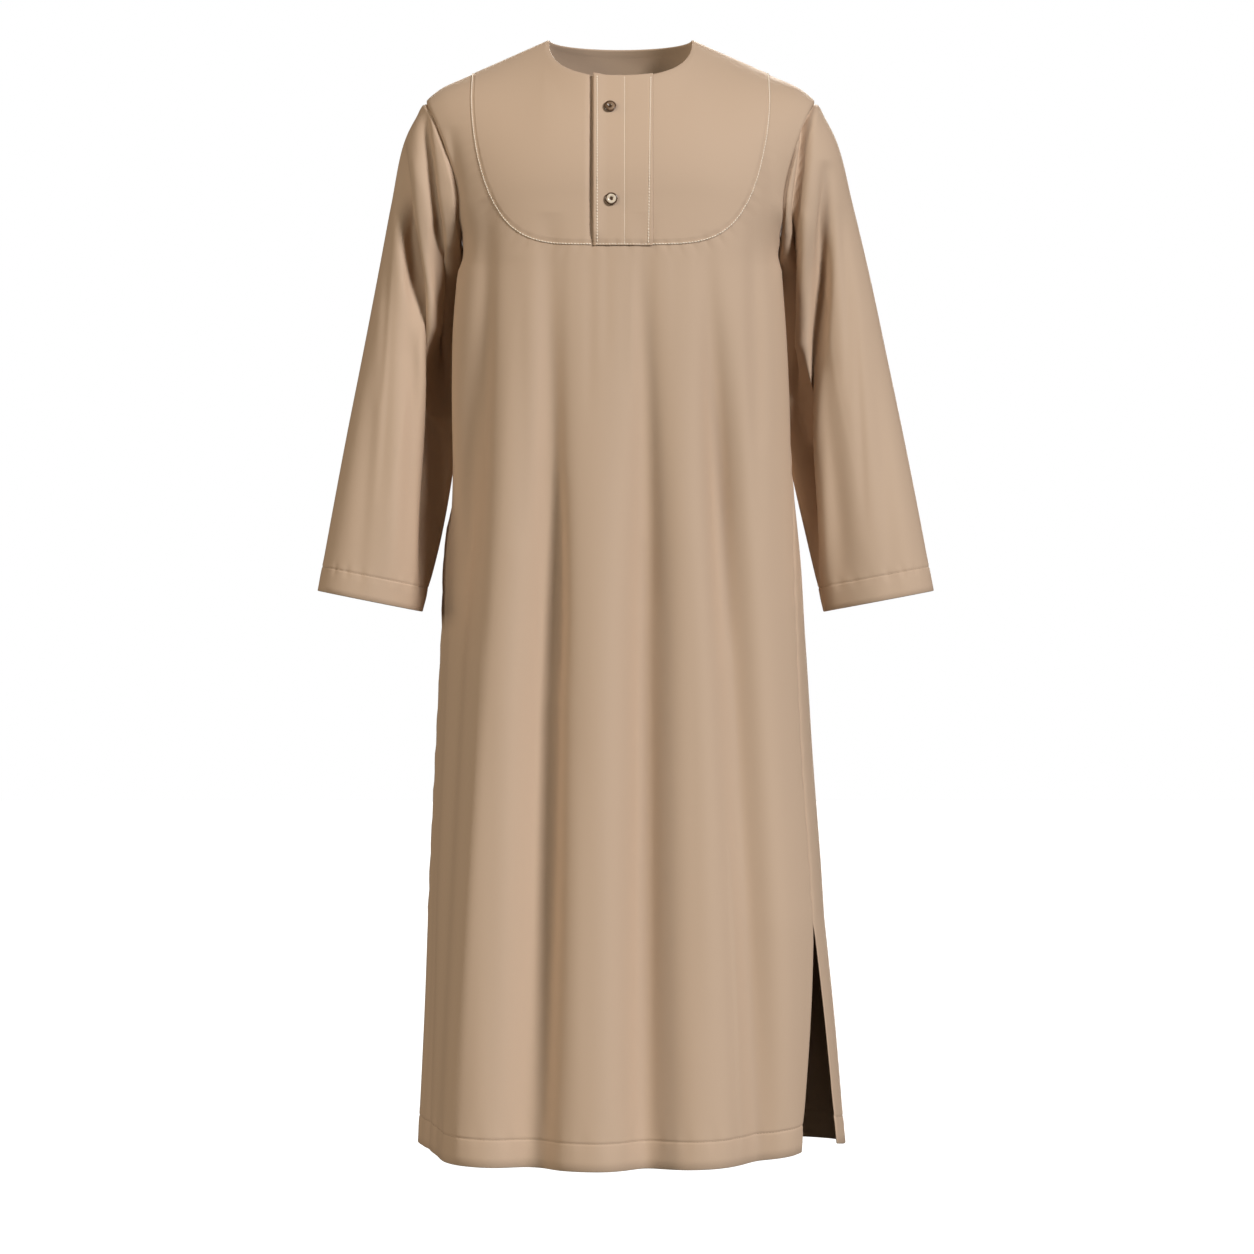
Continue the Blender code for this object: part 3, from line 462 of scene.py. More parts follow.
# Creases in millimetres: a soft trough (depth > 0) or ridge along a line that bows sideways by bend,
# with its width on each side. It fades in and out over the ends.
Crease = namedtuple("Crease", "x_start drop_start x_end drop_end bend width_low width_high depth")
CREASE_ROWS = {
    "front": (
        (-160, 700, -199, 1330, 4, 4, 12, -2),
        (126, 920, 143.5, 1360, 0, 3, 12, -2.4),
        (172, 130, 180, 300, 3, 10, 8, 3),
        (-202, 110, -190, 280, 1, 5, 9, 3.6),
        (-112, 260, -200, 1660, -6, 18, 40, -6.2),
        (-156, 200, -176, 740, 0, 11, 13, 8.5),
        (-83, 220, -79, 780, 0, 13, 15, 8.8),
        (-78, 520, -92, 1400, 0, 13, 15, 9),
        (28, 220, 32, 700, 0, 12, 12, 5.8),
        (27, 600, 29, 1400, 0, 12, 13, 5),
        (101, 240, 123, 740, 0, 11, 11, 5.6),
        (156, 200, 166, 500, 0, 10, 9, 3.4),
        (150, 260, 163, 620, 4, 12, 9, 2),
        (-120, 270, -118, 620, 3, 14, 10, 1.8),
        (-34, 262, -36, 460, 0, 6, 6, 1.2),
        (-16, 262, -17, 400, 0, 5, 6, 1),
        (4, 262, 4, 440, 1, 6, 5, 1),
        (20, 262, 22, 420, 1, 5, 6, 1.2),
        (75, 600, 84, 1200, 4, 20, 14, 2.2),
        (-142, 800, -150, 1330, -3, 12, 16, 1.8),
        (-52, 850, -56, 1350, 2, 14, 12, -1.6),
        (12, 900, 14, 1360, 2, 16, 12, 1.4),
    ),
    "placket_groove": (
        (-33.3, 15, -33.3, 272, 0, 4.5, 4.2, 3),
    ),
    "back": (
        (-150, 140, -166, 500, -6, 10, 14, 4.5),
        (-85, 160, -100, 460, -4, 14, 12, 3),
        (78, 150, 88, 500, 4, 12, 16, 3.2),
        (148, 130, 164, 520, 6, 14, 10, 4.2),
        (0, 300, 4, 950, 3, 14, 18, 2.6),
        (-130, 700, -142, 1340, -4, 4, 12, -2),
        (-20, 850, -24, 1340, 2, 14, 10, 2),
        (96, 750, 112, 1340, 3, 12, 5, -2.2),
        (150, 900, 166, 1340, 3, 12, 14, 1.8),
    ),
    "sleeve_left": (
        (-233, 85, -203, 310, -5, 6.5, 5.5, 15),
        (-272, 80, -208, 450, -8, 9.5, 8.5, 19),
        (-244, 140, -213, 370, -7, 7, 6, -3.5),
        (-207, 255, -204, 450, 0, 7, 12, 20),
        (-216, 350, -219, 700, -3, 15, 18, 32),
        (-254, 380, -270, 660, -3, 12, 12, -3),
        (-278, 180, -288, 440, 2, 6, 6, 2.2),
        (-268, 230, -286, 560, 2, 5, 8, 2),
        (-292, 330, -314, 680, 2, 12, 10, 2.8),
    ),
    "sleeve_left_back": (
        (-232, 110, -200, 320, -4, 7, 8, 5.2),
        (-260, 160, -225, 470, -6, 9, 10, 5),
        (-242, 400, -254, 700, -4, 11, 9, 3),
        (-288, 300, -306, 640, 3, 10, 11, 2.2),
    ),
    "sleeve_right": (
        (229, 60, 196, 340, -2, 4.8, 5.6, 19.5),
        (201, 240, 196, 430, 0, 8, 8, 19),
        (245, 150, 200, 560, 11, 8, 8.5, 21),
        (209, 370, 224, 700, -2, 23, 12, 32),
        (220, 210, 208, 420, 1, 7, 6.5, -4.2),
        (244, 400, 250, 720, 0, 10, 12, -6),
        (264, 200, 272, 440, 2, 6, 6, 2.2),
        (274, 260, 290, 600, 2, 7, 5, 1.8),
        (298, 340, 326, 700, 3, 11, 12, 2.6),
    ),
    "sleeve_right_back": (
        (232, 110, 200, 330, 4, 8, 7, 5.2),
        (264, 170, 230, 500, 7, 10, 9, 5),
        (250, 420, 264, 700, 4, 9, 11, 2.8),
        (296, 280, 320, 620, -3, 11, 10, 2.2),
    ),
}
CREASES = in_metres(Crease, CREASE_ROWS)

CREASE_GROWTH = 0.7  # exponent with which a crease swells and fades
SEAM_DEPTH = 0.0034  # how far the cloth turns in at a seam, and over what distance
SEAM_WIDTH = 0.0021
HEM_HEIGHT = 0.032  # hem stitch above the hem's edge
CUFF_HEIGHT = 0.029
SLIT_HEM = 0.01
HEM_SWELL = (0.0005, -0.012)  # the turned hem is thicker, and how gradually it gets so
HEM_WALL = (0.001, 0.0006, -0.002)  # the cloth's wall, what the hem adds to it and over which way
SIDE_SEAM = 0.55  # depth of the side and shoulder seams as shares of the armhole's
SHOULDER_SEAM = 0.45
SEAM_ENDS = (0.02, -0.03)  # rows past the slit's top where the side seam ends, and over which way
SHOULDER_SEAM_FADE = 0.05  # share beside the neck point without a full seam
UNDERARM_SEAM = (0.75, 45)  # the groove is this much shallower under the arm, within so many degrees
SLASH_END = 1.4  # row at which the opening under the band ends

# Lines of stitches press the cloth in: distance from the edge, depth and half width.
Line = namedtuple("Line", "at depth width")
HEM_LINE = Line(HEM_HEIGHT, 0.0007, 0.0013)
CUFF_LINE = Line(CUFF_HEIGHT, 0.0007, 0.0012)
SLIT_LINE = Line(SLIT_HEM, 0.0004, 0.0014)
NECK_LINE = Line(0.006, 0.0003, 0.0012)
UNDERARM_LINE = Line(0, 0.0008, 0.0026)  # the sleeve's own seam
SLEEVE_DEGREE = 0.0016  # metres round the sleeve for a degree
SLEEVE_FACES_FADE = 3  # how soon past the outer and inner edge the creases of one face are full
ARMHOLE_SWELL = Line(0.009, 0.001, 0.007)  # the sleeve's cap swells beside the seam
BIB_LINES = (Line(-0.0034, 0.00045, 0.0011), Line(-0.0056, -0.000225, 0.001))

# Small ripples of the cloth beside its seams: height, length and phase, and how far from the seam they reach.
Ripple = namedtuple("Ripple", "height length phase reach")
BIB_RIPPLE = Ripple(0.00055, 0.0135, 0.7, (0.006, 0.01))  # inside and outside the U
BIB_RIPPLE_TOP = 0.35  # share of the ripple that is left high up
GATHERS = Ripple(0.0005, 0.026, 1.9, 0.06)  # small pleats that hang from the bib
GATHERS_FROM = 0.004  # they are full this far outside the U
GATHERS_SIDE = (0.12, -0.05)  # where they fade at the side and below what drop they start, and over which way
GATHERS_TOP = (0.24, 0.02)
SEAM_RIPPLE = Ripple(0.0009, 0.045, 0.4, 0.011)
HEM_RIPPLE = Ripple(0.0007, 0.034, 1.1, 0.013)
CUFF_RIPPLE = Ripple(0.0007, 0.048, 0.9, 0.008)
CUFF_UNEVEN = Ripple(0.5, 0.021, 0.2, None)  # how the cuff's line and the swell at the armhole vary
ARMHOLE_UNEVEN = Ripple(0.4, 0.06, 0.3, None)
BAND_RIPPLE = Ripple(0.00022, 0.031, 0.8, None)


def waves(at, length, phase):
    """An uneven ripple from -1 to 1 along a distance."""
    turn = 2 * pi * at / length
    return 0.6 * np.sin(turn + phase) + 0.4 * np.sin(1.63 * turn + 2.1 * phase) * np.cos(0.37 * turn + phase)


def ripple(kind, along):
    return kind.height * waves(along, kind.length, kind.phase)


def pressed(distance, line):
    return line.depth * bell(distance - line.at, line.width)


def hem(up, height):
    """How far a turned hem stands out, and its wall."""
    wall, more, over = HEM_WALL
    return HEM_SWELL[0] * rise(up, height, HEM_SWELL[1]), wall + more * rise(up, height, over)


def creases(panel, x, drop):
    relief = np.zeros_like(x)
    for c in CREASES[panel]:
        run = np.clip((drop - c.drop_start) / (c.drop_end - c.drop_start), 0, 1)
        grown = np.sin(run * pi) ** CREASE_GROWTH
        middle = mix(c.x_start, c.x_end, run) + c.bend * grown
        relief -= c.depth * grown * valley(x, middle, c.width_low, c.width_high)
    return relief


def bib_distance(x, drop):
    """Distance from the U line, roughly, + outside it."""
    ax = np.abs(x) / BIB_HALF
    ad = np.clip(drop - BIB_TOP, 0, None) / (BIB_BOTTOM - BIB_TOP)
    across, down = BIB_ROUNDNESS
    level = ax**across + ad**down
    slope = np.hypot(across * ax ** (across - 1) / BIB_HALF, down * ad ** (down - 1) / (BIB_BOTTOM - BIB_TOP))
    return (level - 1) / np.maximum(slope, 4.0)


def front_relief(x, drop):
    """Creases and the sewing relief round the bib, which the bib and the bands follow too."""
    relief = creases("front", x, drop) + creases("placket_groove", x, drop)
    away = bib_distance(x, drop)
    along = np.arctan2(x, drop - BIB_TOP) * BIB_HALF_TURN
    inside, outside = BIB_RIPPLE.reach
    grown = mix(BIB_RIPPLE_TOP, 1.0, rise(drop, 0.1, 0.1))
    relief += ripple(BIB_RIPPLE, along) * grown * bell(away, np.where(away > 0, outside, inside))
    hanging = smooth(away / GATHERS_FROM) * np.exp(-np.clip(away, 0, None) / GATHERS.reach)
    hanging = hanging * rise(np.abs(x), *GATHERS_SIDE) * rise(drop, *GATHERS_TOP)
    relief += ripple(GATHERS, x) * hanging
    return relief


# ---- sheets and walls


def unit(v):
    return v / np.maximum(np.linalg.norm(v, axis=-1, keepdims=True), 1e-12)


def grid_normals(points, wrap=False):
    """Outward directions of a grid of points, columns first."""
    if wrap:
        across = np.roll(points, -1, 0) - np.roll(points, 1, 0)
    else:
        across = np.gradient(points, axis=0)
    down = np.gradient(points, axis=1)
    return unit(np.cross(down, across))


def arcs(points, axis):
    step = np.linalg.norm(np.diff(points, axis=axis), axis=-1)
    zero = np.zeros_like(np.take(step, [0], axis=axis))
    return np.concatenate([zero, np.cumsum(step, axis=axis)], axis=axis)


class Piece:
    """A grid of outer points with outward directions, from which a closed thin wall is made."""

    def __init__(self, name, base, points, normals, wall, wrap=False, keep=None, uv=None):
        self.name, self.base, self.points, self.normals = name, base, points, normals
        self.inward = normals.copy()
        self.wall = np.broadcast_to(wall, points.shape[:2])
        self.wrap, self.uv = wrap, uv
        columns, rows = points.shape[:2]
        self.keep = np.ones((columns if wrap else columns - 1, rows - 1), bool) if keep is None else keep
        self.seam = np.zeros((columns, rows), bool)


MEETING_DECIMALS = 6  # seam points that agree so far in the plain form are one place of the seam
SAME_SIDE = 0.25  # least cosine between directions that are mitred with each other
MITRE_LIMIT = 1.6  # the most that a mitre may add to the wall


def fit_seams(pieces):
    """Seam points that lie on the same place of the plain form are brought together and mitred."""
    meeting = {}
    for p in pieces:
        for c, r in np.argwhere(p.seam):
            meeting.setdefault(tuple(np.round(p.base[c, r], MEETING_DECIMALS)), []).append((p, c, r))
    for group in meeting.values():
        place = np.mean([p.points[c, r] for p, c, r in group], axis=0)
        for p, c, r in group:
            mine = p.normals[c, r]
            near = [q.normals[i, j] for q, i, j in group if q.normals[i, j] @ mine > SAME_SIDE]
            found = np.linalg.lstsq(np.array(near), np.ones(len(near)), rcond=0.2)[0]
            p.inward[c, r] = found * min(1.0, MITRE_LIMIT / np.linalg.norm(found))
            p.points[c, r] = place
    for p in pieces:
        columns, rows = p.points.shape[:2]
        step = np.zeros_like(p.points)
        for c, r in np.argwhere(p.seam):
            ways = []
            for i, j in ((c + 1, r), (c - 1, r), (c, r + 1), (c, r - 1)):
                i = i % columns if p.wrap else i
                if 0 <= i < columns and 0 <= j < rows and not p.seam[i, j]:
                    ways.append(unit(p.points[i, j] - p.points[c, r]))
            if ways:
                step[c, r] = unit(sum(ways)) * SEAM_GAP / 2
        p.points = p.points + step


RIM_BULGE = 0.42  # how far the rim's middle stands out, as a share of the wall


def wall_mesh(piece):
    """The closed wall of a piece, with a rounded rim."""
    columns, rows = piece.points.shape[:2]
    outer = piece.points.reshape(-1, 3)
    inner = (piece.points - piece.inward * piece.wall[..., None]).reshape(-1, 3)
    count = len(outer)
    c, r = np.nonzero(piece.keep)
    d = (c + 1) % columns
    a, b, e, f = c * rows + r, c * rows + r + 1, d * rows + r + 1, d * rows + r
    quads = np.stack([a, b, e, f], 1)
    edges = np.concatenate([quads, np.roll(quads, -1, 1)]).reshape(2, -1).T
    code = np.sort(edges, 1)
    code = code[:, 0].astype(np.int64) * count + code[:, 1]
    _, index, uses = np.unique(code, return_index=True, return_counts=True)
    index = index[uses == 1]
    p, q = edges[index].T
    along = unit(outer[q] - outer[p])
    out = (outer[p] + outer[q]) / 2 - outer[quads].mean(1)[index // 4]
    out = unit(out - along * (out * along).sum(1, keepdims=True))
    push = np.zeros_like(outer)
    np.add.at(push, p, out)
    np.add.at(push, q, out)
    used = np.unique([p, q])
    place = np.zeros(count, int)
    place[used] = np.arange(len(used))
    thick = piece.wall.reshape(-1)[used, None]
    bulge = (outer[used] + inner[used]) / 2 + unit(push[used]) * thick * RIM_BULGE
    verts = np.concatenate([outer, inner, bulge])
    m = 2 * count + place
    outer_rim = np.stack([q, p, m[p], m[q]], 1)
    inner_rim = np.stack([m[q], m[p], p + count, q + count], 1)
    faces = np.concatenate([quads, quads[:, ::-1] + count, outer_rim, inner_rim])
    uv = piece.uv.reshape(-1, 2)
    return verts, faces, np.concatenate([uv, uv, uv[used]])


def new_mesh(name, verts, faces, material, uv=None):
    """A smooth mesh object from arrays, without the points that no face uses."""
    used, faces_used = np.unique(faces, return_inverse=True)
    faces_used = faces_used.reshape(np.shape(faces))
    mesh = bpy.data.meshes.new(name)
    mesh.from_pydata(np.asarray(verts)[used], [], faces_used, shade_flat=False)
    if uv is not None:
        layer = mesh.uv_layers.new(name="cloth")
        layer.data.foreach_set("uv", uv[used][faces_used].astype(np.float32).ravel())
    mesh.materials.append(material)
    thing = bpy.data.objects.new(name, mesh)
    bpy.context.collection.objects.link(thing)
    return thing


# ---- the pieces of cloth

# How many columns or rows the pieces' parts have.
FINE_YOKE = 64
FINE_ARMHOLE = 26
FINE_SKIRT = 96
FINE_NECK = 44
FINE_SHOULDER = 68
FINE_SLEEVE = 96
FINE_BIB = (121, 71)
FINE_BAND = (47, 121)
BIB_BEND = 0.42  # share of a bib's top columns on the shoulder
BIB_EDGE = (0.25, 0.008)  # share of the wall left at the bib's pressed edge, and over what width it grows
SLEEVE_CROWDING = 1.15  # exponent that brings a sleeve's rings closer together at the armhole
SEAM_SHARES = np.linspace(0, 0.02, 9)  # closer rings at the armhole and at the cuff's stitches
CUFF_SHARES = np.linspace(0.924, 0.966, 27)
HEM_ROWS = np.linspace(-0.006, 0.006, 13)  # metres from the hem's stitches


def fine_rows():
    slit = round(2 + (SLIT_TOP - UNDERARM[2]) / (HEM_SIDE - UNDERARM[2]), 6)
    skirt = np.linspace(2, 3, FINE_SKIRT + 1)[1:]
    skirt[np.argmin(np.abs(skirt - slit))] = slit
    stitched = 3 - (HEM_HEIGHT + HEM_ROWS) / (HEM_SIDE - UNDERARM[2])
    skirt = np.unique(np.round(np.concatenate([skirt, stitched]), 6))
    rows = [np.linspace(0, 1, FINE_YOKE + 1), np.linspace(1, 2, FINE_ARMHOLE + 1)[1:], skirt]
    return np.concatenate(rows), slit


def fine_shares():
    slash = SLASH_HALF / SHOULDER_HALF
    neck = np.linspace(0, NECK_SHARE, FINE_NECK + 1)
    neck[np.argmin(np.abs(neck - slash))] = slash
    half = np.concatenate([neck, np.linspace(NECK_SHARE, 1, FINE_SHOULDER + 1)[1:]])
    return np.concatenate([-half[:0:-1], half])


def panel_piece(panel):
    facing = 1 if panel == "front" else -1
    shares, (rows, slit) = fine_shares(), fine_rows()
    s, r = np.abs(shares)[:, None], rows[None, :]
    base = panel_points(panel, shares[:, None], r)
    across, down = arcs(base, 0), arcs(base, 1)
    across = across - across[len(shares) // 2]
    up = down[:, -1:] - down
    side = np.minimum(across - across[:1], across[-1:] - across)
    relief = front_relief(*flat(base)) if panel == "front" else creases("back", *flat(base))
    # the seams turn in, with small puckers beside them
    sewn = rise(r, slit + SEAM_ENDS[0], SEAM_ENDS[1]) + 0 * side
    groove = bell(side, SEAM_WIDTH) * sewn * mix(1.0, SIDE_SEAM, rise(r, 2, 0.1))
    shoulder = bell(down, SEAM_WIDTH) * rise(s, NECK_SHARE, SHOULDER_SEAM_FADE)
    relief -= SEAM_DEPTH * np.maximum(groove, SHOULDER_SEAM * shoulder)
    relief += ripple(SEAM_RIPPLE, down) * bell(side, SEAM_RIPPLE.reach) * sewn * rise(r, 1, 0.3)
    # the turned hem at the bottom and beside the slits, and the neckline's turned edge
    swell, wall = hem(up, HEM_HEIGHT)
    relief += swell - pressed(up, HEM_LINE)
    relief += ripple(HEM_RIPPLE, across) * bell(up - HEM_HEIGHT, HEM_RIPPLE.reach)
    relief -= pressed(side + 10 * (1 - rise(r, slit, 0.02)), SLIT_LINE)
    relief -= pressed(down, NECK_LINE) * (s < NECK_SHARE)
    points = base + grid_normals(base) * facing * relief[..., None]
    normals = grid_normals(points) * facing
    keep = np.ones((len(shares) - 1, len(rows) - 1), bool)
    if panel == "front":
        middle, between = (shares[1:] + shares[:-1]) / 2, (rows[1:] + rows[:-1]) / 2
        keep &= ~((np.abs(middle)[:, None] < SLASH_HALF / SHOULDER_HALF) & (between < SLASH_END))
    else:
        # the back's columns run the other way round, so that its faces look out
        base, points, normals, wall, down = (v[::-1] for v in (base, points, normals, wall, down))
        across = -across[::-1]
    piece = Piece(panel, base, points, normals, wall, keep=keep)
    piece.seam[[0, -1]] = rows <= slit + TINY
    piece.seam[:, 0] = s[:, 0] >= NECK_SHARE - TINY
    piece.uv = np.stack([across, down], -1)
    return piece


def sleeve_piece(side):
    rows, _ = fine_rows()
    front = rows[rows <= 2] * (pi / 2)
    angles = np.concatenate([front, 2 * pi - front[-2:0:-1]])
    if side == "right":
        angles = np.concatenate([angles[:1], angles[:0:-1]])
    shares = np.linspace(0, 1, FINE_SLEEVE + 1) ** SLEEVE_CROWDING
    shares = np.unique(np.concatenate([shares, SEAM_SHARES, CUFF_SHARES]))
    base = sleeve_points(side, angles[:, None], shares[None, :])
    x, drop = flat(base)
    along = arcs(base, 1)
    up = along[:, -1:] - along
    turn = np.degrees(angles)[:, None]
    from_underarm = turn - 180
    forward = np.sin(angles)[:, None] * SLEEVE_FACES_FADE
    relief = creases("sleeve_" + side, x, drop) * smooth(forward)
    relief += creases("sleeve_" + side + "_back", x, drop) * smooth(-forward)
    less, degrees = UNDERARM_SEAM
    relief -= SEAM_DEPTH * (1 - less * bell(from_underarm, degrees)) * bell(along, SEAM_WIDTH)
    relief += pressed(along, ARMHOLE_SWELL) * (0.6 + ripple(ARMHOLE_UNEVEN, turn / 360))
    swell, wall = hem(up, CUFF_HEIGHT)
    relief += swell - pressed(up, CUFF_LINE) * (1 + ripple(CUFF_UNEVEN, turn / 360))
    relief += ripple(CUFF_RIPPLE, turn / 360) * bell(up - CUFF_HEIGHT, CUFF_RIPPLE.reach)
    relief -= pressed(from_underarm * SLEEVE_DEGREE, UNDERARM_LINE)
    points = base + grid_normals(base, wrap=True) * relief[..., None]
    piece = Piece("sleeve_" + side, base, points, grid_normals(points, wrap=True), wall, wrap=True)
    piece.seam[:, 0] = True
    girth = np.linalg.norm(np.roll(base, -1, 0) - base, axis=-1).cumsum(0)
    piece.uv = np.stack([girth, along], -1)
    return piece


STEP = 1e-4  # of share or row, for slopes
SEARCH_ROUNDS = 12
SEARCH_LIMITS = (0.05, 0.08)  # the most that a round changes a share and a row


def surface(share, row, lift=0.0):
    """Points of the creased front moved out by lift, with outward directions, for scattered places."""
    share, row = spread(share, row)
    here = panel_points("front", share, row)
    across = panel_points("front", share + STEP, row) - panel_points("front", share - STEP, row)
    down = panel_points("front", share, row + STEP) - panel_points("front", share, np.maximum(row - STEP, 0))
    normal = unit(np.cross(down, across))
    normal = np.where(normal[..., 1:2] > 0, -normal, normal)
    return here + normal * (front_relief(*flat(here)) + lift)[..., None], normal


def locate(x, drop):
    """Share and row of places on the front given as x and drop."""
    x, drop = spread(x, drop)
    shares, rows = np.linspace(-1, 1, 201), np.linspace(0, 3, 301)
    gx, gd = (v.ravel() for v in flat(panel_points("front", shares[:, None], rows[None, :])))
    best = np.array([np.argmin((gx - a) ** 2 + (gd - b) ** 2) for a, b in zip(x.ravel(), drop.ravel())])
    s, r = (v.reshape(x.shape) for v in (shares[best // len(rows)], rows[best % len(rows)]))
    for _ in range(SEARCH_ROUNDS):
        p = panel_points("front", s, r)
        ps = (panel_points("front", s + STEP, r) - p) / STEP
        pr = (panel_points("front", s, r + STEP) - p) / STEP
        ex, ed = x - p[..., 0], drop - flat(p)[1]
        a, b, c, d = ps[..., 0], pr[..., 0], -ps[..., 2], -pr[..., 2]
        det = a * d - b * c
        det = np.where(np.abs(det) < TINY, TINY, det)
        changes = (ex * d - b * ed) / det, (a * ed - ex * c) / det
        ds, dr = (np.clip(change, -most, most) for change, most in zip(changes, SEARCH_LIMITS))
        s, r = np.clip(s + ds, -1, 1), np.maximum(r + dr, 0)
    return s, r


def u_line(low, high, count, inset=0.0):
    """The U's line between two x values as x and drop, evenly spaced, moved in by inset."""
    turn = np.linspace(-pi / 2, pi / 2, 4001)
    across, down = BIB_ROUNDNESS
    x = (BIB_HALF - inset) * signed_power(np.sin(turn), 2 / across)
    drop = BIB_TOP + (BIB_BOTTOM - BIB_TOP - inset) * np.abs(np.cos(turn)) ** (2 / down)
    top = [shoulder_drop(abs(x[0]))]
    x, drop = np.concatenate([x[:1], x, x[-1:]]), np.concatenate([top, drop, top])
    keep = (x >= low) & (x <= high)
    x, drop = x[keep], drop[keep]
    length = np.concatenate([[0], np.cumsum(np.hypot(np.diff(x), np.diff(drop)))])
    even = np.linspace(0, length[-1], count)
    return np.interp(even, length, x), np.interp(even, length, drop)


def bib_piece(side):
    """Half of the bib: from the shoulder's end of the U, between the top edge and the U's line."""
    count, levels = FINE_BIB
    if side == "left":
        sign, inner = -1, PLACKET_LOW + BIB_UNDER_BAND
        ux, ud = u_line(-1, inner, count)
    else:
        sign, inner = 1, PLACKET_HIGH - BIB_UNDER_BAND
        ux, ud = (v[::-1] for v in u_line(inner, 1, count))
    us, ur = locate(ux, ud)
    start = BIB_HALF / SHOULDER_HALF
    us[0], ur[0] = sign * start, 0.0
    end = math.asin((abs(inner) / NECK_HALF) ** (NECK_ROUNDNESS["front"] / 2)) / (pi / 2) * NECK_SHARE
    bend = int(count * BIB_BEND)
    shoulder, neck = np.linspace(start, NECK_SHARE, bend), np.linspace(NECK_SHARE, end, count - bend + 1)
    top = sign * np.concatenate([shoulder, neck[1:]])
    t = np.linspace(0, 1, levels)
    points, normals = surface(mix(top[:, None], us[:, None], t), mix(0.0, ur[:, None], t))
    away = bib_distance(*flat(points))
    # pressed thin along the shoulder, the neck and the U, with a groove inside the stitches
    pressed_thin, width = BIB_EDGE
    thick = BAND_WALL * mix(pressed_thin, 1.0, smooth(np.minimum(arcs(points, 1), -away) / width))
    groove = sum(pressed(away, line) for line in BIB_LINES)
    points = points + normals * (LAYER_GAP + thick - groove)[..., None]
    if side == "right":
        points, normals, thick = points[::-1], normals[::-1], thick[::-1]
    return Piece("bib_" + side, points, points, normals, thick * 0.9, uv=np.stack(flat(points), -1))


def column_at(x, rows):
    """Shares at which the front's rows have that x."""
    share = np.clip(x / 0.22, -0.9, 0.9) + 0 * rows
    for _ in range(SEARCH_ROUNDS):
        here, beside = (panel_points("front", at, rows)[..., 0] for at in (share, share + STEP))
        change = (x - here) / np.maximum((beside - here) / STEP, 1e-3)
        share = share + np.clip(change, -SEARCH_LIMITS[0], SEARCH_LIMITS[0])
    return share


BAND_FOOT_THIN = 0.0011  # the placket's foot is pressed thin
BAND_FOOT_WALL = (0.5, 0.007)  # share of the wall left at the foot, and over what height it grows
# lines of stitches down the placket: where they start and end, and the thread's radius
BandSeam = namedtuple("BandSeam", "name x_top x_foot radius")
BAND_SEAMS = (
    BandSeam("edge", -0.027, -0.0268, 0.00064),
    BandSeam("middle", 0.0049, 0.0048, 0.00032),
    BandSeam("side", 0.0354, 0.0326, 0.0006),
)
BAND_SEAM_LINE = Line(-0.0007, 0.00035, 0.001)  # beside the thread
BAND_SWELL = (0.0002, 0.003)  # the band is fuller than its edges, which are so wide
BAND_EDGE = Line(PLACKET_LOW, 0.0003, 0.001)
BAND_PLEAT = Line(0.006, 0.00028, 0.0009)


def band_lift(x, drop):
    """How high the placket lies: its free edge stands off over the groove and is sewn down at its foot."""
    free = rise(x, PLACKET_RISE_FROM, -PLACKET_RISE_OVER) * rise(drop, BIB_BOTTOM, -0.018)
    foot = 1 - rise(drop, BIB_BOTTOM, -0.008)
    lift = 2 * (LAYER_GAP + BAND_WALL) + PLACKET_EDGE_LIFT * free - BAND_FOOT_THIN * foot
    return lift - creases("placket_groove", x, drop)


def band_piece(name):
    """The placket or the underlap: a strip between two x values from the neckline to the bib's end."""
    columns, levels = FINE_BAND
    xs = np.linspace(PLACKET_LOW, PLACKET_HIGH, columns)
    _, last = locate(xs, BIB_BOTTOM + BAND_OVERHANG)
    span = np.linspace(0, 1, levels)
    rows = last[:, None] * span
    shares = column_at(xs[:, None], rows)
    x = np.broadcast_to(xs[:, None], shares.shape)
    if name == "placket_underlap":
        wall = BAND_WALL
        points, normals = surface(shares, rows, -WALL - LAYER_GAP)
        upwards = unit(points[:, :1] - points[:, 1:2])
        points = points + UNDERLAP_PEEP * upwards * (1 - smooth(span / UNDERLAP_PEEP_SHARE))[:, None]
    else:
        plain = panel_points("front", shares, rows)
        beside, depth, width = BAND_SEAM_LINE
        seams = sum(bell(x - mix(b.x_top, b.x_foot, span) - beside, width) for b in BAND_SEAMS)
        fuller, edge = BAND_SWELL
        swell = fuller * rise(x, PLACKET_LOW, edge) * rise(x, PLACKET_HIGH, -edge)
        lift = band_lift(x, flat(plain)[1]) - pressed(x, BAND_EDGE) - pressed(x, BAND_PLEAT)
        lift = lift - depth * seams + swell + ripple(BAND_RIPPLE, arcs(plain, 1)) * (0.4 + seams)
        points, normals = surface(shares, rows)
        from_foot = np.linalg.norm(points[:, -1:] - points, axis=-1)
        thin, height = BAND_FOOT_WALL
        wall = mix(BAND_WALL * thin, BAND_WALL, smooth(from_foot / height))
        points = points + normals * lift[..., None]
    return Piece(name, points, points, normals, wall, uv=np.stack([x, flat(points)[1]], -1))


# ---- stitches

STITCH_PITCH = 0.0036
STITCH_LENGTH = 0.003
STITCH_SHAKE = 0.06  # the most that a stitch is off its place, as a share of the pitch
STITCH_TURN = 12.9898  # radians from one stitch's shake to the next one's
STITCH_RINGS = 5
STITCH_SIDES = 6
STITCH_ENDS = 0.45  # share of its radius that a stitch has at its ends
STITCH_RISE = 1.25  # height of its middle in radii, and its section's width and height
STITCH_SECTION = (1.15, 0.8)


def circle(steps):
    turn = np.linspace(0, 2 * pi, steps, endpoint=False)
    return np.cos(turn), np.sin(turn)


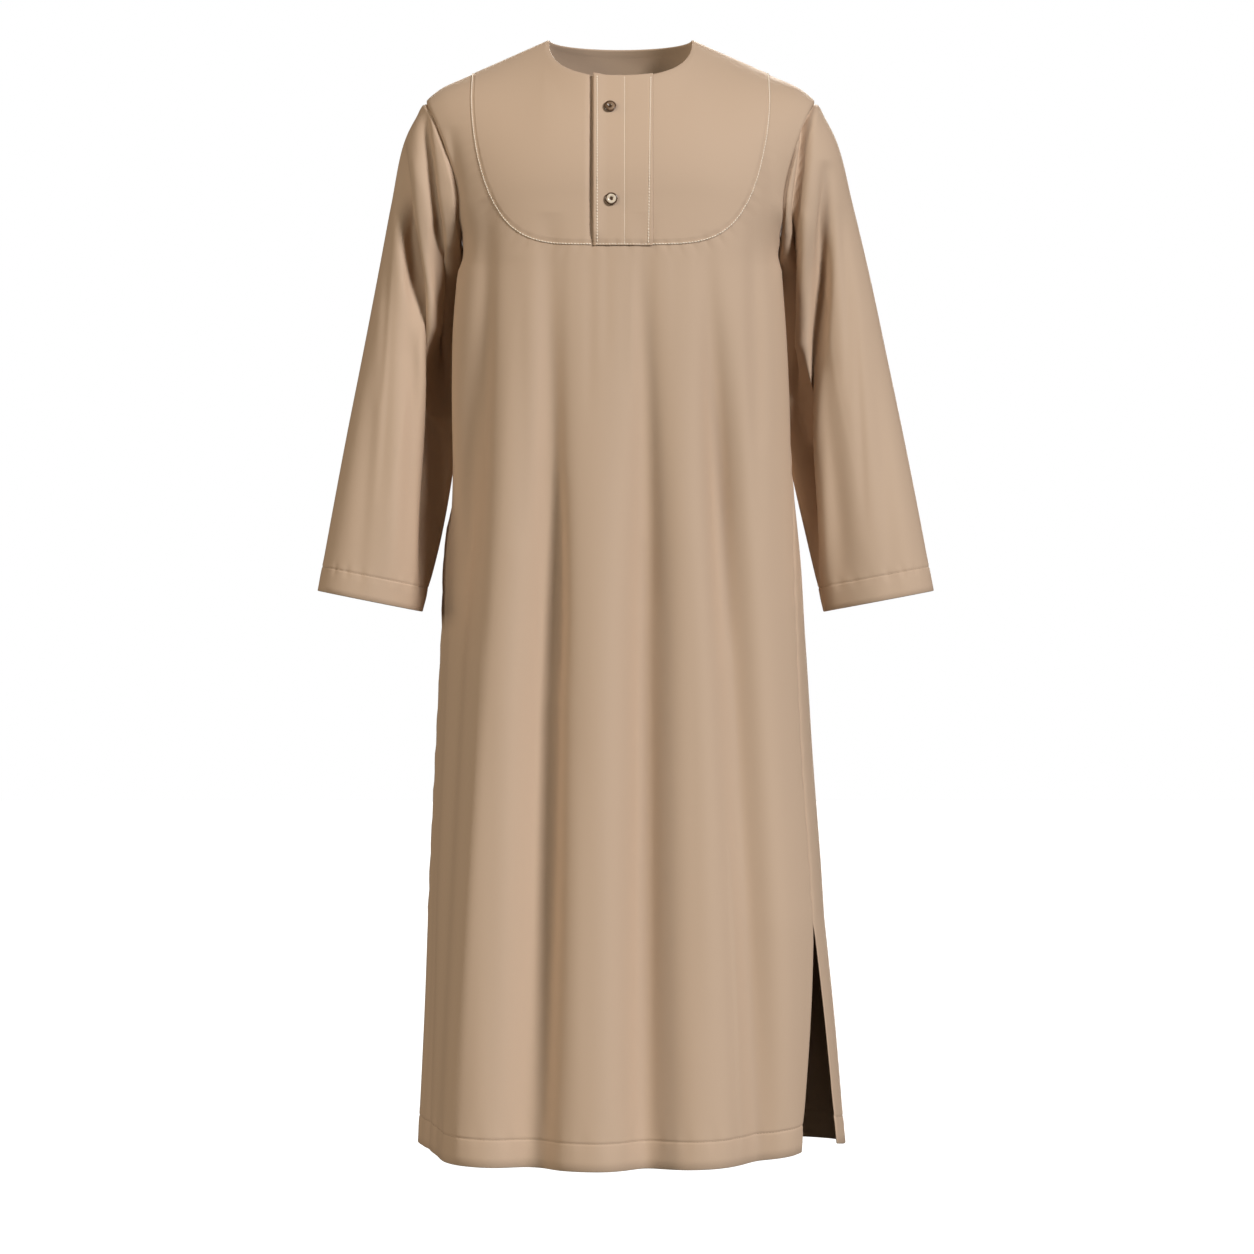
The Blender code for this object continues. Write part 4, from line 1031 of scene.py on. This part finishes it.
def tube_faces(rings, sides):
    """Faces between rings of points."""
    ring, side = np.divmod(np.arange((rings - 1) * sides), sides)
    p, q = ring * sides + side, ring * sides + (side + 1) % sides
    return np.stack([p, q, q + sides, p + sides], 1)


def stitches(name, points, normals, material, radius, sink=0.0002):
    """Threads along a path: each stitch is a little tube that dips into the cloth at both ends."""
    points, normals = np.asarray(points), np.asarray(normals)
    run = arcs(points, 0)
    share = np.linspace(-0.5, 0.5, STITCH_RINGS)
    bow = np.sqrt(np.clip(1 - (2 * share) ** 2, 0.0, 1))
    height, wide = (radius * STITCH_RISE - sink) * bow - sink, radius * mix(STITCH_ENDS, 1.0, bow)
    cos, sin = (v[:, None] * size for v, size in zip(circle(STITCH_SIDES), STITCH_SECTION))
    quads = tube_faces(STITCH_RINGS, STITCH_SIDES)
    verts, faces = [], []
    for k in range(int(run[-1] / STITCH_PITCH)):
        middle = (k + 0.5) * STITCH_PITCH + STITCH_SHAKE * STITCH_PITCH * math.sin(k * STITCH_TURN)
        at = np.clip(middle + share * STITCH_LENGTH, 0, run[-1])
        line, up = (np.stack([np.interp(at, run, v[:, i]) for i in range(3)], 1) for v in (points, normals))
        up = unit(up)
        across = unit(np.cross(unit(np.gradient(line, axis=0)), up))
        ring = across[:, None] * cos + up[:, None] * sin
        verts.append((line + up * height[:, None])[:, None] + wide[:, None, None] * ring)
        faces.append(quads + k * STITCH_RINGS * STITCH_SIDES)
    return new_mesh(name, np.concatenate(verts).reshape(-1, 3), np.concatenate(faces), material)


def on_front(x, drop, lift):
    """A path on the creased front at places given as x and drop."""
    s, r = locate(x, drop)
    return surface(s, r, lift)


# ---- materials


def shader(name, settings):
    material = bpy.data.materials.new(name)
    material.use_nodes = True
    bsdf = material.node_tree.nodes["Principled BSDF"]
    for key, value in settings.items():
        bsdf.inputs[key].default_value = value
    return material, material.node_tree, bsdf


def node(tree, kind, **settings):
    """A new node. What is given for an input is its value or its link, anything else a setting."""
    made = tree.nodes.new(kind)
    for key, value in settings.items():
        if key not in made.inputs:
            setattr(made, key, value)
        elif isinstance(value, bpy.types.NodeSocket):
            tree.links.new(value, made.inputs[key])
        else:
            made.inputs[key].default_value = value
    return made


def math_node(tree, operation, *values):
    made = node(tree, "ShaderNodeMath", operation=operation)
    for slot, value in zip(made.inputs, values):
        if isinstance(value, (int, float)):
            slot.default_value = value
        else:
            tree.links.new(value, slot)
    return made.outputs[0]


def noise(tree, vector, stretch=None, **settings):
    """Noise in a vector's space, which can be stretched first."""
    if stretch:
        scaled = node(tree, "ShaderNodeVectorMath", operation="MULTIPLY", Vector=vector)
        scaled.inputs[1].default_value = stretch
        vector = scaled.outputs[0]
    return node(tree, "ShaderNodeTexNoise", Vector=vector, **settings).outputs["Fac"]


def object_space(tree):
    return node(tree, "ShaderNodeTexCoord").outputs["Object"]


def tint(tree, bsdf, shade, dark, light, positions=(0.0, 1.0)):
    """The base colour runs from dark to light as the shade runs between the positions."""
    ramp = node(tree, "ShaderNodeValToRGB", Fac=shade)
    for end, colour, position in zip(tuple(ramp.color_ramp.elements), (dark, light), positions):
        end.position, end.color = position, (*colour, 1)
    tree.links.new(ramp.outputs[0], bsdf.inputs["Base Color"])


def emboss(tree, bsdf, height, strength, distance):
    bump = node(tree, "ShaderNodeBump", Height=height, Strength=strength, Distance=distance)
    tree.links.new(bump.outputs[0], bsdf.inputs["Normal"])


def times(colour, factor):
    return tuple(min(c * factor, 1) for c in colour)


# Base and weights of the cloth's shade. The base is so high that most of the cloth has the light end's
# colour, and the yarn shows mainly by its relief.
SHADE = {"base": 0.5, "weave": 0.1, "threads": 0.22, "dye": 0.3, "streaks": 0.7}
SHADE_ENDS = (0.43, 1.0)
YARN_RELIEF = {"weave": 0.6, "threads": 0.8}
CLOTH_SLUBS = ((900.0, 26.0, 1.0), (22.0, 800.0, 1.0), (240.0, 7.0, 1.0))  # two yarns and long uneven streaks


def cloth(name, colour, pitch=0.0009, relief=0.00006):
    """Plain weave of smooth yarn with a slight sheen: threads, slubs and a little unevenness in the dye."""
    material, tree, bsdf = shader(name, {
        "Roughness": 0.72,
        "Sheen Weight": 0.18,
        "Sheen Roughness": 0.35,
        "Sheen Tint": (1.0, 0.92, 0.82, 1),
        "Specular IOR Level": 0.3,
    })

    def combine(operation, *values):
        return math_node(tree, operation, *values)

    uv = node(tree, "ShaderNodeUVMap", uv_map="cloth").outputs[0]
    parts = node(tree, "ShaderNodeSeparateXYZ", Vector=uv)
    rate = 2 * pi / pitch
    warp, weft = (combine("SINE", combine("MULTIPLY", parts.outputs[i], rate)) for i in range(2))
    weave = combine("MULTIPLY", warp, weft)
    slubs = [noise(tree, uv, stretch, Scale=1.0, Detail=2.0) for stretch in CLOTH_SLUBS]
    threads = combine("ADD", slubs[0], slubs[1])
    dye = noise(tree, object_space(tree), Scale=7.0, Detail=3.0)
    shade = combine("MULTIPLY_ADD", threads, SHADE["threads"], SHADE["base"])
    shade = combine("MULTIPLY_ADD", weave, SHADE["weave"], shade)
    for part, weight in ((dye, SHADE["dye"]), (slubs[2], SHADE["streaks"])):
        shade = combine("ADD", shade, combine("MULTIPLY", part, weight))
    tint(tree, bsdf, shade, times(colour, 0.9), times(colour, 1.09), SHADE_ENDS)
    heights = (combine("MULTIPLY", v, YARN_RELIEF[k]) for k, v in (("weave", weave), ("threads", threads)))
    emboss(tree, bsdf, combine("ADD", *heights), 0.35, relief)
    return material


def thread(name, colour):
    """Twisted sewing thread."""
    material, tree, bsdf = shader(name, {"Roughness": 0.55, "Sheen Weight": 0.2})
    fibres = noise(tree, object_space(tree), Scale=900.0, Detail=2.0)
    tint(tree, bsdf, fibres, times(colour, 0.86), times(colour, 1.08))
    emboss(tree, bsdf, fibres, 0.4, 0.0001)
    return material


def horn(name, dark, light, rough):
    """Polished horn or shell with cloudy streaks."""
    material, tree, bsdf = shader(name, {"Roughness": rough, "Coat Weight": 0.6, "Coat Roughness": 0.08})
    cloud = noise(tree, object_space(tree), (1.0, 1.0, 0.35), Scale=150.0, Detail=3.0, Distortion=0.4)
    tint(tree, bsdf, cloud, dark, light, (0.35, 0.68))
    emboss(tree, bsdf, cloud, 0.15, 0.0001)
    return material


TAN = (0.476, 0.346, 0.248)
CREAM = (0.93, 0.82, 0.68)
TONAL = (0.29, 0.2, 0.135)


# ---- buttons


BUTTON_SIDES = 64
# The button's outline from its back over the rim to the raised ring and the dished middle, as shares of its
# radius and its thickness. The rows of BUTTON_RING are the lighter ring; the rim and the dished middle take
# the darker horn, which is partly the horn's own tone and partly painted shade.
BUTTON_ROWS = (
    (0.02, 0.02), (0.6, 0.0), (0.8, 0.1), (0.94, 0.36), (0.985, 0.55), (1.0, 0.7), (0.985, 0.82),
    (0.93, 0.91), (0.86, 0.93), (0.79, 0.9), (0.75, 0.89), (0.7, 0.94), (0.62, 0.985), (0.52, 1.0),
    (0.43, 0.96), (0.36, 0.88), (0.31, 0.78), (0.24, 0.7), (0.12, 0.67), (0.004, 0.67),
)
BUTTON_RING = range(10, 16)


def button_piece(name, rim, ring):
    x, drop = BUTTONS[name]
    seat, normal = surface(*locate(x, drop), 2 * (LAYER_GAP + BAND_WALL) + BUTTON_GAP)
    cos, sin = circle(BUTTON_SIDES)
    rings = [np.stack([r * BUTTON_RADIUS * cos, r * BUTTON_RADIUS * sin, h * BUTTON_THICK + 0 * cos], 1)
             for r, h in BUTTON_ROWS]
    facing = np.array(Vector((0, 0, 1)).rotation_difference(Vector(normal)).to_matrix())
    faces = tube_faces(len(BUTTON_ROWS), BUTTON_SIDES)
    thing = new_mesh(name + "_horn", np.concatenate(rings) @ facing.T + seat, faces, rim)
    thing.data.materials.append(ring)
    # the rim and the dished middle get the darker material, in part painted shade; the raised ring the
    # lighter one
    tones = [int(i in BUTTON_RING) for i in range(len(BUTTON_ROWS) - 1)]
    thing.data.polygons.foreach_set("material_index", np.repeat(tones, BUTTON_SIDES))
    return thing


# ---- assembly

TAN_CLOTH = cloth("tan_weave", TAN)
TAN_BAND = cloth("tan_weave_bands", times(TAN, 1.02), pitch=0.0008)
CREAM_THREAD = thread("cream_thread", CREAM)
TONAL_THREAD = thread("tan_thread", TONAL)
# horn of the rims and dished middles, darker than the rings': partly its own tone, partly painted shade of
# the rim
HORN_RIM_PAINTED_SHADE = horn("horn_rim_painted_shade", (0.05, 0.025, 0.012), (0.115, 0.062, 0.034), 0.3)
HORN_RING = horn("horn_ring", (0.15, 0.09, 0.052), (0.33, 0.225, 0.15), 0.2)
PEARL_RING = horn("pearl_ring", (0.56, 0.44, 0.32), (0.86, 0.76, 0.62), 0.18)
SIDES = ("left", "right")
BIB_THREAD = 0.00055  # radii of threads
BAND_END_THREAD = 0.00045
HEM_THREAD = 0.0003
BAND_THREAD_SINK = 0.0001  # how deep the placket's thread lies
BIB_STITCH_INSET = 0.0012
BAND_STITCH_TOP = 0.056  # drop where the lines down the placket start
BAND_STITCH_ENDS = 0.001  # lines end this far inside an edge
BIB_SEAT = LAYER_GAP + 0.35 * BAND_WALL


def join(thing):
    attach(thing, "root")


def sew(name, *path_and_thread):
    join(stitches(name, *path_and_thread))


def sew_hem(name, piece, height, columns):
    """Stitches at a height above a piece's lower edge."""
    up = arcs(piece.points, 1)
    up = up[:, -1:] - up
    line, direction = (
        [[np.interp(-height, -up[c], v[c, :, i]) for i in range(3)] for c in columns]
        for v in (piece.points, piece.normals)
    )
    sew(name, line, direction, TONAL_THREAD, HEM_THREAD)


panels = [*map(panel_piece, ("front", "back")), *map(sleeve_piece, SIDES)]
fit_seams(panels)
for piece in [*panels, *map(bib_piece, SIDES), *map(band_piece, ("placket", "placket_underlap"))]:
    verts, faces, uv = wall_mesh(piece)
    material = TAN_CLOTH if piece in panels else TAN_BAND
    thing = new_mesh(piece.name + "_cloth", verts, faces, material, uv)
    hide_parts(piece.name)
    join(thing)
ends = (-1, PLACKET_LOW + BAND_STITCH_ENDS), (PLACKET_HIGH - BAND_STITCH_ENDS, 1)
for side, (low, high) in zip(SIDES, ends):
    places = u_line(low, high, 400, inset=BIB_STITCH_INSET)
    sew("stitch_bib_" + side, *on_front(*places, BIB_SEAT), CREAM_THREAD, BIB_THREAD)
drops = np.linspace(BAND_STITCH_TOP, BIB_BOTTOM, 200)
for b in BAND_SEAMS:
    xs = np.linspace(b.x_top, b.x_foot, len(drops))
    points, normals = on_front(xs, drops, 0.0)
    points = points + normals * (band_lift(xs, drops) - BAND_THREAD_SINK)[:, None]
    sew("stitch_placket_" + b.name, points, normals, CREAM_THREAD, b.radius, BAND_THREAD_SINK)
xs = np.linspace(PLACKET_LOW + 2 * BAND_STITCH_ENDS, PLACKET_HIGH - 2 * BAND_STITCH_ENDS, 60)
drops = np.full(len(xs), BIB_BOTTOM - BAND_STITCH_ENDS)
points, normals = on_front(xs, drops, 0.0)
points = points + normals * band_lift(xs, drops)[:, None]
sew("stitch_placket_end", points, normals, CREAM_THREAD, BAND_END_THREAD)
for piece in panels[:2]:
    sew_hem("stitch_hem_" + piece.name, piece, HEM_HEIGHT, range(2, len(piece.points) - 2))
for side, piece in zip(SIDES, panels[2:]):
    sew_hem("stitch_cuff_" + side, piece, CUFF_HEIGHT, [*range(len(piece.points)), 0])
for name, ring in (("button_upper", HORN_RING), ("button_lower", PEARL_RING)):
    thing = button_piece(name, HORN_RIM_PAINTED_SHADE, ring)
    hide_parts(name)
    join(thing)

# ---- stage, light and camera

FLOOR_Z = NECK_POINT_Z - 1.5
FLOOR_HALF = 14.0
CAMERA_DROP = 0.704  # where the camera aims, and from how far in front
CAMERA_X = 0.0078
DISTANCE = 5.0
FRAME_SPAN = 1.505  # what the picture shows at the robe's distance
SENSOR = 36.0
SUN_WIDTH = 14
# degrees from the front towards +X and above the horizon, strength and colour
LIGHTS = {
    "key": (43, 25, 3.26, (1.0, 0.995, 0.99)),
    "fill": (-46, 14, 0.98, (1.0, 0.95, 0.82)),
    "side": (-82, 12, 0.72, (1.0, 0.82, 0.62)),
    "rear": (172, 28, 2.7, (1.0, 0.96, 0.89)),
}

scene = bpy.context.scene
scene.view_settings.view_transform = "Standard"
scene.view_settings.look = "None"

# the camera sees a white studio, which lights the robe only faintly
scene.world = bpy.data.worlds.new("studio")
scene.world.use_nodes = True
tree = scene.world.node_tree
tree.nodes.clear()
seen = node(tree, "ShaderNodeLightPath").outputs["Is Camera Ray"]
blend = node(tree, "ShaderNodeMixShader", Fac=seen)
lit = node(tree, "ShaderNodeBackground", Color=(1.0, 0.86, 0.7, 1), Strength=0.03)
white = node(tree, "ShaderNodeBackground", Color=(1, 1, 1, 1), Strength=1.0)
tree.links.new(lit.outputs[0], blend.inputs[1])
tree.links.new(white.outputs[0], blend.inputs[2])
node(tree, "ShaderNodeOutputWorld", Surface=blend.outputs[0])

for name, (azimuth, height, strength, colour) in LIGHTS.items():
    light = bpy.data.lights.new(name, "SUN")
    light.energy, light.angle, light.color = strength, math.radians(SUN_WIDTH), colour
    turn, up = math.radians(azimuth), math.radians(height)
    away = Vector((math.sin(turn) * math.cos(up), -math.cos(turn) * math.cos(up), math.sin(up)))
    thing = bpy.data.objects.new(name, light)
    thing.rotation_euler = away.to_track_quat("Z", "Y").to_euler()
    bpy.context.collection.objects.link(thing)

glow = {"Base Color": (0.1, 0.1, 0.1, 1), "Emission Color": (1, 1, 1, 1), "Emission Strength": 1.0}
floor_material, *_ = shader("floor", {"Roughness": 0.9, **glow})
corners = [(x * FLOOR_HALF, y * FLOOR_HALF, FLOOR_Z) for x, y in ((-1, -1), (1, -1), (1, 1), (-1, 1))]
floor = new_mesh("floor", corners, [(0, 1, 2, 3)], floor_material)
floor.visible_diffuse = False
floor.visible_glossy = False

camera = bpy.data.cameras.new("camera")
camera.sensor_width = SENSOR
camera.lens = SENSOR * DISTANCE / FRAME_SPAN
camera.clip_end = 60.0
eye = bpy.data.objects.new("camera", camera)
eye.location = (CAMERA_X, -DISTANCE, NECK_POINT_Z - CAMERA_DROP)
eye.rotation_euler = (math.radians(90), 0, 0)
bpy.context.collection.objects.link(eye)
scene.camera = eye
